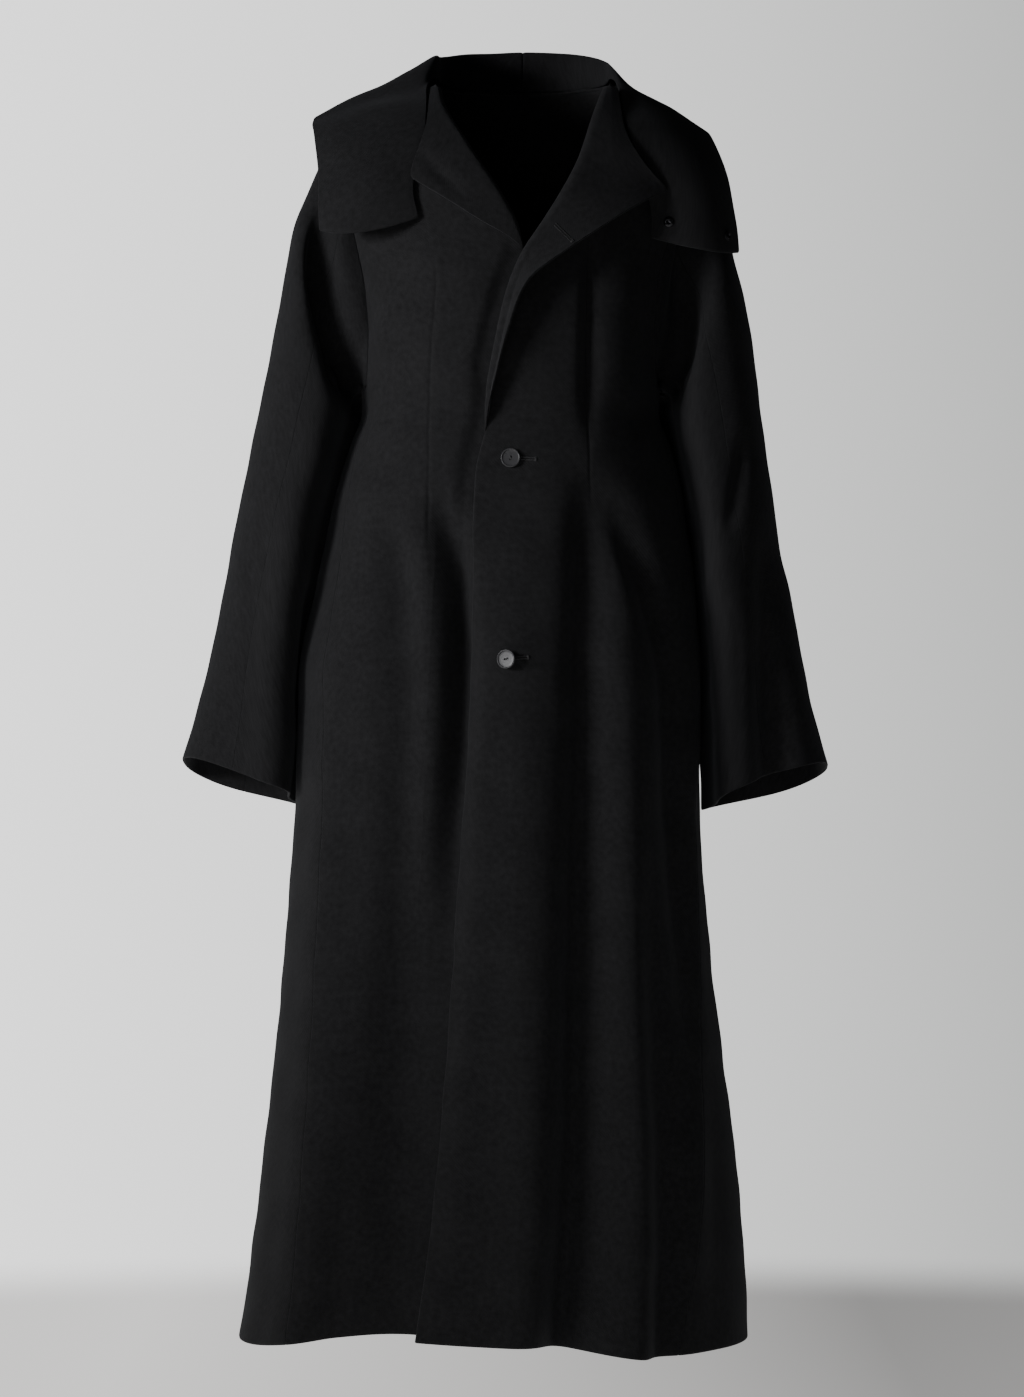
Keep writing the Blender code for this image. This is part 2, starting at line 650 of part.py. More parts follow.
def build_sleeve(panels, low_rows, hand):
    """One sleeve's grid from the armhole's own points to the cuff, its wall and its seams with the body."""
    side = "left" if hand > 0 else "right"
    front, front_normals = panels["front_" + side]
    back, back_normals = panels["back_" + side]
    under, under_normals = panels["side_" + side]
    front_column = -1 if hand > 0 else 0
    back_column = 0 if hand > 0 else -1
    rows = np.arange(low_rows - 1, front.shape[0])
    half = CHEST_ROWS // 2
    under_order = slice(1, -1) if hand > 0 else slice(-2, 0, -1)
    # The loop runs down the front from its middle, under the arm, up the back and over the shoulder.
    places = [(front, front_normals, (rows[k], front_column)) for k in range(half, -1, -1)]
    middle = range(under.shape[1])[under_order]
    places += [(under, under_normals, (low_rows - 1, column)) for column in middle]
    places += [(back, back_normals, (row, back_column)) for row in rows]
    places += [(front, front_normals, (rows[k], front_column)) for k in range(CHEST_ROWS - 1, half, -1)]
    loop = np.array([grid[place] for grid, _, place in places])
    body_normals = np.array([normals[place] for _, normals, place in places])
    count = len(loop)
    corner_front = half
    corner_back = half + len(middle) + 1
    tip = corner_back + CHEST_ROWS
    anchors = np.array([0, corner_front, corner_back, corner_back + half, tip, count], float)
    shares = np.interp(np.arange(count), anchors, ARMHOLE_SHARES) % 1.0
    sections = SLEEVE_LEFT if hand > 0 else SLEEVE_RIGHT
    rings = np.array([loop] + sleeve_ring(sections, hand, shares))
    places_along = np.linspace(0, 1, SLEEVE_ROWS) ** SLEEVE_SPACING * (len(rings) - 1)
    grid = spline(rings, places_along)
    normals = grid_normals(grid, closed=True) * hand
    for along, width, start_share, stop_share, depth in zip(*SLEEVE_FOLD.values()):
        down = np.exp(-(((places_along - along) / width) ** 2))[:, None]
        middle_share = (start_share + stop_share) / 2
        round_it = ease(2 - 4 * np.abs(shares - middle_share) / (stop_share - start_share))
        grid = grid - normals * (depth * down * round_it)[..., None] * (places_along > 0)[:, None, None]
    normals = grid_normals(grid, closed=True) * hand
    # Both walls end on one plane at the armhole, halfway between their directions.
    halfway = unit(body_normals + normals[0])
    length = WALL / np.maximum(np.sum(halfway * body_normals, axis=-1, keepdims=True), MITRE_LIMIT)
    offset = normals * WALL
    miter = halfway * length
    offset[0] = (np.roll(miter, 1, axis=0) + 2 * miter + np.roll(miter, -1, axis=0)) / 4
    return grid, offset, places, offset[0], corner_back + half


def build_hood():
    """Control net of the hood: a row for each station from the right flap round the back to the left."""
    shares = np.array(FLAP_SHARES)[:, None]
    neck_middle = (NECK_LEFT + NECK_RIGHT) / 2
    neck_half = (NECK_LEFT - NECK_RIGHT) / 2

    def flap_rows(flap):
        rows = []
        for inner_x, inner_z, off, outer_x, outer_y, outer_z, bow, sag in zip(*flap.values()):
            inner_y = -front_depth(np.array(inner_x), np.array(inner_z)) - off
            inner = np.array([inner_x, inner_y, inner_z])
            outer = np.array([outer_x, outer_y, outer_z])
            way = unit(np.array([np.sign(inner_x) * BOW_SIDE, BOW_FRONT, BOW_UP]))
            lift = 4 * shares * (1 - shares) * (bow * way - np.array([0, 0, sag]))
            rows.append(inner + (outer - inner) * shares + lift)
        return rows

    def back_row(row, hand):
        turn = math.radians(row[0])
        pairs = np.array(row[2:]).reshape(-1, 2)
        out = np.array([hand * math.sin(turn), -math.cos(turn), 0.0])
        neck = np.array([hand * neck_half * math.sin(turn), -NECK_BACK * math.cos(turn), row[1]])
        if hand > 0:
            near = ease((180 - row[0]) / 90)
            drop = HOOD_LEFT_DROP * ease((HOOD_DROP_END - row[0]) / (HOOD_DROP_END - 90))
            pairs[:, 0] *= 1 - (1 - HOOD_LEFT_REACH) * near * HOOD_LEFT_SHARES["reach"]
            pairs[:, 1] -= drop * HOOD_LEFT_SHARES["drop"]
        points = [neck] + [out * reach + np.array([0, 0, height]) for reach, height in pairs]
        return np.array(points) + np.array([neck_middle, 0, 0])

    backs = list(zip(*HOOD_BACK.values()))
    net = flap_rows(FLAP_RIGHT)
    net += [back_row(row, -1.0) for row in backs[:-1]]
    net += [back_row(row, 1.0) for row in reversed(backs)]
    net += flap_rows(FLAP_LEFT)[::-1]
    return np.array(net)


def hood_points(net, stations, shares):
    """Points on the hood at stations counted along it and shares from the neck to the face edge."""
    rows = spline(net, np.asarray(stations, float))
    return spline(np.swapaxes(rows, 0, 1), np.asarray(shares, float) * (net.shape[1] - 1)).swapaxes(0, 1)


def build_lapel(panel, normals, column, beside, rows, lapel, roll):
    """Under and upper grids of a lapel: it turns out of the front's edge and lies back over the chest."""
    edge = panel[rows, column]
    up = normals[rows, column]
    away = edge - panel[rows, beside]
    away = unit(away - up * np.sum(away * up, axis=-1, keepdims=True))
    z = edge[:, 2]
    radius = smooth(roll["z"], roll["radius"], z)[:, None]
    start = edge + away * SEAM
    under = []
    upper = []
    for turn in np.linspace(0, math.pi, LAPEL_ROLL_COLUMNS):
        sine = math.sin(turn)
        cosine = math.cos(turn)
        under.append(start + away * radius * sine + up * radius * (1 - cosine))
        upper.append(start + away * (radius + WALL) * sine + up * (radius - (radius + WALL) * cosine))
    edge_x, edge_z, lift = (smooth(lapel["z"], lapel[name], z) for name in ("edge_x", "edge_z", "lift"))
    root = under[-1]
    root_lift = -root[:, 1] - front_depth(root[:, 0], root[:, 2])
    for share in np.linspace(0, 1, LAPEL_COLUMNS + 1)[1:]:
        x = root[:, 0] + (edge_x - root[:, 0]) * share
        level = root[:, 2] + (edge_z - root[:, 2]) * share
        height = root_lift + (lift - root_lift) * share
        point = np.stack([x, -front_depth(x, level) - height, level], axis=-1)
        under.append(point)
        upper.append(None)
    under = np.stack(under, axis=1)
    facing = grid_normals(under)
    facing *= np.where(facing[..., 1:2] > 0, -1.0, 1.0)
    # Beside the roll the wall goes the roll's way, so that narrow rows don't fold.
    settled = np.linalg.norm(under - root[:, None], axis=-1, keepdims=True) / LAPEL_SETTLE
    settled = np.minimum(settled, 1.0)
    facing = unit(up[:, None] * (1 - settled) + facing * settled)
    for k in range(LAPEL_ROLL_COLUMNS, under.shape[1]):
        upper[k] = under[:, k] + facing[:, k] * WALL
    return np.stack(upper, axis=1), under


def plain_material(name, colour, roughness, metallic):
    material = bpy.data.materials.new(name)
    material.use_nodes = True
    shader = material.node_tree.nodes["Principled BSDF"]
    shader.inputs["Base Color"].default_value = colour
    shader.inputs["Roughness"].default_value = roughness
    shader.inputs["Metallic"].default_value = metallic
    return material


def add_object(mesh, material, collection):
    item = bpy.data.objects.new(mesh.name, mesh)
    item.data.materials.append(material)
    collection.objects.link(item)
    return item


def turned(name, profile, radius, height, material, collection):
    """A piece turned about its own Z from a profile of shares of its radius and height."""
    mesh = bpy.data.meshes.new(name)
    points = [(radius * out, 0, height * up) for out, up in zip(*profile.values())]
    mesh.from_pydata(points, [(k, k + 1) for k in range(len(points) - 1)], [])
    item = add_object(mesh, material, collection)
    screw = item.modifiers.new("turn", "SCREW")
    screw.steps = ROUND_STEPS
    screw.render_steps = ROUND_STEPS
    screw.use_merge_vertices = True
    screw.merge_threshold = MERGE
    return item


def place_on(item, point, normal, gap, spin=0.0):
    """Set a piece on a surface with its Z along the surface's normal."""
    normal = unit(np.asarray(normal))
    side = unit(np.cross([0, 0, 1.0], normal))
    across = side * math.cos(spin) + np.cross(normal, side) * math.sin(spin)
    frame = np.eye(4)
    frame[:3, 0] = across
    frame[:3, 1] = np.cross(normal, across)
    frame[:3, 2] = normal
    frame[:3, 3] = point + gap * normal
    item.matrix_world = Matrix(frame.tolist())


def add_button(name, place, material, parts, cutters):
    """A dished button with a raised rim and two sewing holes, on the left front."""
    item = turned(name, BUTTON_PROFILE, BUTTON_RADIUS, BUTTON_HEIGHT, material, parts)
    turn, z, hole_turn, lean, gap = place
    turns = turn + BUTTON_STEP_TURN * np.array([0, -1, 1, 0, 0])
    heights = z + BUTTON_STEP_Z * np.array([0, 0, 0, -1, 1])
    around = body_points(turns, heights)
    normal = np.cross(around[2] - around[1], around[4] - around[3])
    normal = np.array(Matrix.Rotation(math.radians(lean), 3, "Z") @ Vector(normal))
    place_on(item, around[0], normal, gap, math.radians(hole_turn))
    for sign in (-1, 1):
        mesh = bpy.data.meshes.new(name + "_hole")
        shape = bmesh.new()
        bmesh.ops.create_cone(
            shape,
            cap_ends=True,
            segments=HOLE_STEPS,
            radius1=BUTTON_HOLE,
            radius2=BUTTON_HOLE,
            depth=4 * BUTTON_HEIGHT,
        )
        bmesh.ops.translate(shape, verts=shape.verts, vec=(sign * BUTTON_HOLE_OFFSET, 0, 0))
        shape.to_mesh(mesh)
        shape.free()
        cutter = add_object(mesh, material, cutters)
        cutter.matrix_world = item.matrix_world.copy()
        cutter.hide_render = True
        cutter.display_type = "WIRE"
        cut = item.modifiers.new("hole", "BOOLEAN")
        cut.operation = "DIFFERENCE"
        cut.object = cutter


def add_snap(name, station, share, net, material, parts):
    """A snap socket: a low ring with a hollow for the stud, on the left hood flap."""
    item = turned(name, SNAP_PROFILE, SNAP_RADIUS, SNAP_HEIGHT, material, parts)
    stations = station + SNAP_STEP_STATION * np.array([-1, 0, 1])
    shares = share + SNAP_STEP_SHARE * np.array([-1, 0, 1])
    patch = hood_points(net, stations, shares)
    normal = np.cross(patch[1, 2] - patch[1, 0], patch[2, 1] - patch[0, 1])
    if normal[1] > 0:
        normal = -normal
    place_on(item, patch[1, 1], normal, SNAP_GAP)


def build():
    for item in list(bpy.data.objects):
        bpy.data.objects.remove(item, do_unlink=True)
    parts = bpy.data.collections.new(NAME)
    cutters = bpy.data.collections.new("cutters")
    bpy.context.scene.collection.children.link(parts)
    bpy.context.scene.collection.children.link(cutters)
    wool = plain_material("black_wool", CLOTH_COLOUR, 0.95, 0.0)
    resin = plain_material("button_resin", BUTTON_COLOUR, 0.35, 0.0)
    metal = plain_material("snap_metal", SNAP_COLOUR, 0.35, 0.9)

    panels, low_rows = build_body()
    offsets = {name: normals * WALL for name, (_, normals) in panels.items()}
    sleeves = {}
    for side, hand in (("left", 1.0), ("right", -1.0)):
        grid, offset, places, miter, split = build_sleeve(panels, low_rows, hand)
        sleeves[side] = (grid, offset, split)
        for (target, _, place), vector in zip(places, miter):
            for name, (outer, _) in panels.items():
                if outer is target:
                    offsets[name][place] = vector
        corner_front = CHEST_ROWS // 2
        corner_back = corner_front + SIDE_COLUMNS - 1
        side_ends = (0, -1) if hand > 0 else (-1, 0)
        offsets["side_" + side][-1, side_ends[0]] = miter[corner_front]
        offsets["side_" + side][-1, side_ends[1]] = miter[corner_back]
        tip = corner_back + CHEST_ROWS
        offsets["front_" + side][-1, -1 if hand > 0 else 0] = miter[tip]

    half_gap = SEAM / 2
    for name, (outer, _) in panels.items():
        outer = outer.copy()
        inner = outer - offsets[name]
        low = slice(0, low_rows)
        if name != "front_left":
            draw_back(outer, inner, (low, 0), (low, 1), half_gap)
        if name != "front_right":
            draw_back(outer, inner, (low, -1), (low, -2), half_gap)
        upper = slice(low_rows, None)
        if name in ("front_left", "back_right"):
            draw_back(outer, inner, (upper, -1), (upper, -2), ARMHOLE_GAP / 2)
        if name in ("front_right", "back_left"):
            draw_back(outer, inner, (upper, 0), (upper, 1), ARMHOLE_GAP / 2)
        if name == "back_left":
            draw_back(outer, inner, (upper, -1), (upper, -2), half_gap)
        if name == "back_right":
            draw_back(outer, inner, (upper, 0), (upper, 1), half_gap)
        top_gap = ARMHOLE_GAP / 2 if name.startswith("side") else half_gap
        draw_back(outer, inner, (-1, slice(None)), (-2, slice(None)), top_gap)
        add_object(wall_mesh(name, outer, inner), wool, parts)

    for side, (grid, offset, split) in sleeves.items():
        inner = grid - offset
        whole = [np.concatenate([layer, layer[:, :1]], axis=1) for layer in (grid, inner)]
        for half, columns in (("inner", slice(0, split + 1)), ("outer", slice(split, None))):
            outer_half = whole[0][:, columns].copy()
            inner_half = whole[1][:, columns].copy()
            rows = slice(None)
            draw_back(outer_half, inner_half, (rows, 0), (rows, 1), SLEEVE_SEAM / 2)
            draw_back(outer_half, inner_half, (rows, -1), (rows, -2), SLEEVE_SEAM / 2)
            draw_back(outer_half, inner_half, (0, rows), (1, rows), ARMHOLE_GAP / 2)
            add_object(wall_mesh(f"sleeve_{side}_{half}", outer_half, inner_half), wool, parts)

    net = build_hood()
    stations = np.linspace(0, len(net) - 1, HOOD_STATIONS)
    hood = hood_points(net, stations, np.linspace(0, 1, HOOD_COLUMNS))
    hood_normals = grid_normals(hood)
    if hood_normals[HOOD_STATIONS // 4, HOOD_COLUMNS // 2, 2] < 0:
        hood_normals = -hood_normals
    middle = HOOD_STATIONS // 2
    for side, rows, seam_row, beside in (
        ("right", slice(0, middle + 1), -1, -2),
        ("left", slice(middle, None), 0, 1),
    ):
        outer = hood[rows].copy()
        inner = outer - hood_normals[rows] * HOOD_WALL
        draw_back(outer, inner, (seam_row, slice(None)), (beside, slice(None)), half_gap)
        add_object(wall_mesh("hood_" + side, outer, inner), wool, parts)

    for side, column, beside, lapel in (
        ("left", 0, 1, LAPEL_LEFT),
        ("right", -1, -2, LAPEL_RIGHT),
    ):
        outer, normals = panels["front_" + side]
        heights = outer[:, column, 2]
        lowest = LAPEL_LEFT_START if side == "left" else LAPEL_RIGHT_START
        rows = np.flatnonzero((heights > lowest) & (heights < LAPEL_TOP))
        upper, under = build_lapel(outer, normals, column, beside, rows, lapel, ROLL_RADIUS[side])
        add_object(wall_mesh("lapel_" + side, upper, under), wool, parts)

    for name, place in zip(("button_upper", "button_lower"), zip(*BUTTONS.values())):
        add_button(name, place, resin, parts, cutters)
    for name, station, share in zip(("snap_inner", "snap_outer"), *SNAPS.values()):
        add_snap(name, station, share, net, metal, parts)


build()
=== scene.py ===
"""Looks of the long hooded coat: finer cloth with its creases and sewing, finishes, floor, light and camera.

Metres, in the part's own frame: +Z up, the front faces -Y and the wearer's left is +X. Each cloth shell
follows the surface of the solid that it stands for on a finer grid, with the creases that the solid leaves
out. The fronts' upper edges, the lapels and the left hood flap are up to 10 mm from the solids' own.
"""

import math

import bmesh
import bpy
import numpy as np
from mathutils import Matrix, Vector
from mathutils.bvhtree import BVHTree


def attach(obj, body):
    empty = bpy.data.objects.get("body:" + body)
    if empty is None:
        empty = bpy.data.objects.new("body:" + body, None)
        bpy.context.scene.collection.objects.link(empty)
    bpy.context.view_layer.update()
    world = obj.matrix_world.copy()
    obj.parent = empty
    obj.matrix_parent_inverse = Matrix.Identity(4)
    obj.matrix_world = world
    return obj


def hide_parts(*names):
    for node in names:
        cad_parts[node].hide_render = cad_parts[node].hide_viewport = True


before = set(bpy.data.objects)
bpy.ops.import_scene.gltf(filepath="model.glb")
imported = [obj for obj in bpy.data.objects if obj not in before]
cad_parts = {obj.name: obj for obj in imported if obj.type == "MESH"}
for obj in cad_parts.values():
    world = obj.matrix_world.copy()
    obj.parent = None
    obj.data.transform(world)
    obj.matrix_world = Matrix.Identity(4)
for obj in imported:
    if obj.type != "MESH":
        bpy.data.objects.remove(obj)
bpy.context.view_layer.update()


def table(columns, *rows):
    """The columns of a small table, by name."""
    return dict(zip(columns.split(), np.array(rows, float).T))


# Cloth walls, the gaps between pieces and how far fine edges go into a seam
WALL = 0.0025
HOOD_WALL = 0.003
SEAM = 0.0003
SEAM_MEET = 0.0003
ARMHOLE_MEET = 0.0015
LAP_GAP = 0.0034

# Heights of the hem and the armholes' lowest point
HEM = -1.235
UNDERARM = -0.290

# Neck opening and shoulder line: the shoulder falls from the neck to the tip on each side
NECK_Z = 0.016
NECK_BACK = 0.080
NECK_RIGHT = -0.0745
NECK_LEFT = 0.0985
TIP_RIGHT = -0.176
TIP_LEFT = 0.180
SLOPE_RIGHT = 0.45
SLOPE_LEFT = 0.70
SHOULDER_ROUND = 0.130

# Squareness of the body's sections (2 is an ellipse) and the farthest share of a half width that has a depth
SQUARE = 2.3
SIDE_LIMIT = 0.985

# Body sections: reach to each side of the origin and depth to the front and back
BODY = table(
    "z right left front back",
    (-1.235, 0.2715, 0.2370, 0.200, 0.235),
    (-1.150, 0.2590, 0.2330, 0.194, 0.225),
    (-1.050, 0.2470, 0.2240, 0.188, 0.212),
    (-0.907, 0.2315, 0.2055, 0.177, 0.195),
    (-0.795, 0.2220, 0.1940, 0.170, 0.182),
    (-0.700, 0.2155, 0.1885, 0.164, 0.172),
    (-0.580, 0.2130, 0.1900, 0.158, 0.163),
    (-0.470, 0.1910, 0.1820, 0.147, 0.150),
    (-0.420, 0.1810, 0.1750, 0.141, 0.142),
    (-0.380, 0.1710, 0.1680, 0.136, 0.134),
    (-0.340, 0.1590, 0.1570, 0.131, 0.125),
    (-0.315, 0.1480, 0.1480, 0.128, 0.119),
    (-0.290, 0.1500, 0.1500, 0.128, 0.118),
)

# Chest and shoulder sections above the armholes' lowest point
CHEST = table(
    "z half front back",
    (-0.290, 0.150, 0.128, 0.118),
    (-0.230, 0.151, 0.131, 0.121),
    (-0.140, 0.169, 0.128, 0.122),
    (-0.050, 0.196, 0.122, 0.118),
    (0.020, 0.215, 0.118, 0.115),
)

# Seams round the body, in degrees from the front towards the wearer's left
SEAMS = table(
    "z lap right_front left_front side_back underlap",
    (-1.235, -22.0, -54.0, 49.5, 122.0, 17.0),
    (-0.800, -14.6, -57.0, 70.0, 119.0, 13.0),
    (-0.600, -11.6, -60.0, 73.0, 117.0, 11.0),
    (-0.380, -14.0, -68.0, 73.0, 115.0, 12.0),
    (-0.333, -10.4, -71.0, 73.0, 114.0, 14.0),
    (-0.290, -8.0, -73.0, 73.0, 113.0, 15.3),
)

# The seams that bound each body panel, from its first column to its last
PANEL_ENDS = {
    "front_left": ("lap", "left_front"),
    "side_left": ("left_front", "left_back"),
    "back_left": ("left_back", "centre"),
    "back_right": ("centre", "right_back"),
    "side_right": ("right_back", "right_front"),
    "front_right": ("right_front", "underlap"),
}

# Skirt folds: where each starts, its way round the body, depth (a trough is below zero) and half width
FOLDS = table(
    "start_z start_turn middle_z middle_turn hem_turn upper_depth hem_depth width",
    (-0.385, -28.0, -0.580, -14.5, -24.0, -0.024, -0.002, 5.5),
    (-0.395, -47.0, -0.620, -33.0, -32.0, -0.012, -0.002, 6.5),
    (-0.370, 32.5, -0.620, 32.0, 20.5, -0.020, -0.038, 8.0),
    (-0.385, 40.0, -0.600, 61.0, 64.0, -0.015, 0.000, 6.0),
    (-0.750, 48.0, -0.950, 47.0, 46.0, -0.004, -0.012, 6.0),
    (-0.420, 3.0, -0.700, 8.0, 9.7, 0.003, 0.010, 9.0),
    (-0.420, 35.0, -0.700, 41.0, 35.3, 0.005, 0.022, 7.0),
    (-0.450, 73.0, -0.800, 69.0, 50.0, 0.004, 0.008, 5.0),
    (-0.480, -58.0, -0.800, -57.0, -54.0, 0.003, 0.010, 8.0),
    (-0.450, 126.0, -0.700, 128.0, 131.0, -0.006, -0.016, 8.0),
    (-0.420, 165.0, -0.700, 160.0, 157.0, -0.008, -0.020, 8.0),
    (-0.400, 194.0, -0.700, 199.0, 203.0, -0.008, -0.022, 8.0),
    (-0.450, 236.0, -0.700, 232.0, 229.0, -0.006, -0.016, 8.0),
    (-0.430, 146.0, -0.700, 144.0, 144.0, 0.004, 0.012, 9.0),
    (-0.430, 180.0, -0.700, 180.0, 180.0, 0.004, 0.012, 10.0),
    (-0.430, 214.0, -0.700, 216.0, 216.0, 0.004, 0.012, 9.0),
)
FOLD_RUN = 0.090

# How the right front steps in under the left: below the armholes in degrees, above them in metres
UNDER_START_TURN = 9.0
UNDER_STEP_TURN = 5.0
UNDER_START = 0.026
UNDER_STEP = 0.010
UNDER_TOP = -0.150
UNDER_TOP_STEP = 0.012

# The right front's skirt hangs flat behind the left front's edge: its greatest depth to the front
UNDER_FLAT = table(
    "z depth",
    (-1.235, 0.142), (-1.050, 0.144), (-0.850, 0.149), (-0.720, 0.166), (-0.620, 0.190), (-0.550, 0.250),
)
UNDER_FLAT_ROUND = 0.012
UNDER_FLAT_RUN = 12.0

# How far the hem is lifted along the front, and how high up the cloth that shows
HEM_LIFT = table(
    "turn lift",
    (-180.0, 0.0), (-75.0, 0.0), (-32.0, 0.015), (-5.0, 0.011),
    (20.0, 0.008), (40.0, -0.003), (75.0, 0.0), (180.0, 0.0),
)
HEM_LIFT_FADE = 0.250

# Edges of the fronts above the armholes' lowest point, up beside the roll lines to the neck. The solids'
# own edges are wider apart, which keeps the openings for a wearer clear.
ROLL_LEFT = table(
    "z x",
    (-0.290, -0.0180), (-0.200, 0.0030), (-0.161, 0.0190), (-0.136, 0.0355), (-0.096, 0.0600),
    (-0.070, 0.0730), (-0.038, 0.0835), (-0.013, 0.0915), (0.016, 0.0985),
)
ROLL_RIGHT = table(
    "z x",
    (-0.290, 0.0340), (-0.220, 0.0300), (-0.160, 0.0130), (-0.111, -0.0120),
    (-0.060, -0.0460), (-0.011, -0.0725), (0.016, -0.0745),
)

# Armhole edges, as distances from the middle of the chest
ARMHOLE = table(
    "z front back",
    (-0.290, 0.1450, 0.1420),
    (-0.265, 0.1430, 0.1430),
    (-0.230, 0.1420, 0.1450),
    (-0.140, 0.1570, 0.1590),
    (-0.080, 0.1680, 0.1690),
    (-0.025, 0.1770, 0.1770),
)
CHEST_MIDDLE = 0.004

# Lapels: the height on the roll line, the free edge across from it and the edge's lift off the chest
LAPEL_LEFT = table(
    "z edge_x edge_z lift",
    (-0.350, -0.0270, -0.3510, 0.003),
    (-0.310, -0.0205, -0.3100, 0.008),
    (-0.281, -0.0130, -0.2810, 0.013),
    (-0.242, -0.0020, -0.2410, 0.019),
    (-0.197, 0.0165, -0.1930, 0.024),
    (-0.168, 0.0527, -0.1641, 0.026),
    (-0.145, 0.0840, -0.1427, 0.025),
    (-0.115, 0.1200, -0.1185, 0.023),
    (-0.090, 0.1440, -0.1050, 0.026),
    (-0.074, 0.1531, -0.0997, 0.030),
    (-0.044, 0.1290, -0.0720, 0.023),
    (-0.019, 0.1105, -0.0370, 0.017),
    (-0.001, 0.1050, 0.0020, 0.015),
    (0.012, 0.1012, 0.0145, 0.017),
)
LAPEL_RIGHT = table(
    "z edge_x edge_z lift",
    (-0.170, 0.0080, -0.1710, 0.002),
    (-0.155, -0.0010, -0.1580, 0.006),
    (-0.146, -0.0137, -0.1450, 0.010),
    (-0.126, -0.0400, -0.1261, 0.013),
    (-0.108, -0.0640, -0.1105, 0.014),
    (-0.088, -0.0850, -0.0975, 0.015),
    (-0.074, -0.0985, -0.0880, 0.016),
    (-0.044, -0.0905, -0.0600, 0.014),
    (-0.019, -0.0825, -0.0320, 0.014),
    (-0.001, -0.0795, 0.0020, 0.013),
    (0.012, -0.0775, 0.0135, 0.017),
)
LAPEL_TOP = 0.004

# How far a lapel spans straight from roll to free edge, in place of the chest's curve
LAPEL_FLAT = 0.6

# How far from the roll a lapel's wall takes its own facing, and how its lower end shrinks to a point
LAPEL_SETTLE = 0.012
LAPEL_TAPER = 0.030
LAPEL_END = 0.02
ROLL_RADIUS = {
    "left": table(
        "z radius",
        (-0.350, 0.0006), (-0.310, 0.0022), (-0.281, 0.0034), (-0.242, 0.0045),
        (-0.160, 0.0055), (-0.030, 0.0050), (0.013, 0.0015),
    ),
    "right": table(
        "z radius", (-0.170, 0.0006), (-0.150, 0.0022), (-0.120, 0.0042), (-0.030, 0.0048), (0.013, 0.0015)
    ),
}

# Sleeve sections: outer and inner ends as distances from the origin, half depth, middle, the rise of the
# front edge, how far the back of the inner side tucks in behind the body and the outside's lean to the back
SLEEVE_RIGHT = table(
    "outer_x outer_z inner_x inner_z depth middle_y front_rise tuck lean",
    (0.2150, -0.125, 0.1570, -0.300, 0.076, 0.004, 0.000, 0.018, 0.000),
    (0.2330, -0.215, 0.1680, -0.342, 0.080, 0.006, 0.000, 0.029, 0.008),
    (0.2545, -0.320, 0.1855, -0.405, 0.080, 0.010, 0.000, 0.021, 0.016),
    (0.2760, -0.425, 0.2010, -0.480, 0.079, 0.013, 0.002, 0.019, 0.020),
    (0.2960, -0.530, 0.2185, -0.565, 0.078, 0.016, 0.004, 0.017, 0.022),
    (0.3135, -0.605, 0.2205, -0.640, 0.078, 0.018, 0.008, 0.018, 0.024),
    (0.3300, -0.663, 0.2220, -0.700, 0.078, 0.020, 0.012, 0.019, 0.026),
)
SLEEVE_LEFT = table(
    "outer_x outer_z inner_x inner_z depth middle_y front_rise tuck lean",
    (0.2160, -0.135, 0.1580, -0.300, 0.076, 0.004, 0.000, 0.018, 0.000),
    (0.2380, -0.225, 0.1660, -0.342, 0.080, 0.006, 0.000, 0.027, 0.008),
    (0.2530, -0.335, 0.1800, -0.405, 0.080, 0.007, 0.000, 0.020, 0.015),
    (0.2680, -0.435, 0.1905, -0.480, 0.079, 0.003, 0.002, 0.019, 0.022),
    (0.2860, -0.525, 0.1975, -0.560, 0.078, 0.002, 0.004, 0.020, 0.021),
    (0.3010, -0.605, 0.2010, -0.640, 0.078, 0.005, 0.008, 0.023, 0.024),
    (0.3180, -0.668, 0.2030, -0.705, 0.078, 0.008, 0.012, 0.023, 0.024),
)

# Sleeve fold beside the armhole's front: sections down the sleeve, shares round it and depth, and the
# sections over which it fades at the armhole
SLEEVE_FOLD = table("along width start_share stop_share depth", (0.70, 0.30, 0.02, 0.42, 0.014))
SLEEVE_FOLD_CLEAR = 0.2

# Shares round a sleeve at the armhole: front, underarm's front and back ends, back, shoulder tip and front
ARMHOLE_SHARES = (0.25, 0.07, -0.07, -0.25, -0.50, -0.75)
SLEEVE_SPACING = 1.25
SLEEVE_SQUARE = 3.0
TUCK_SHARE = -0.15
TUCK_POWER = 6

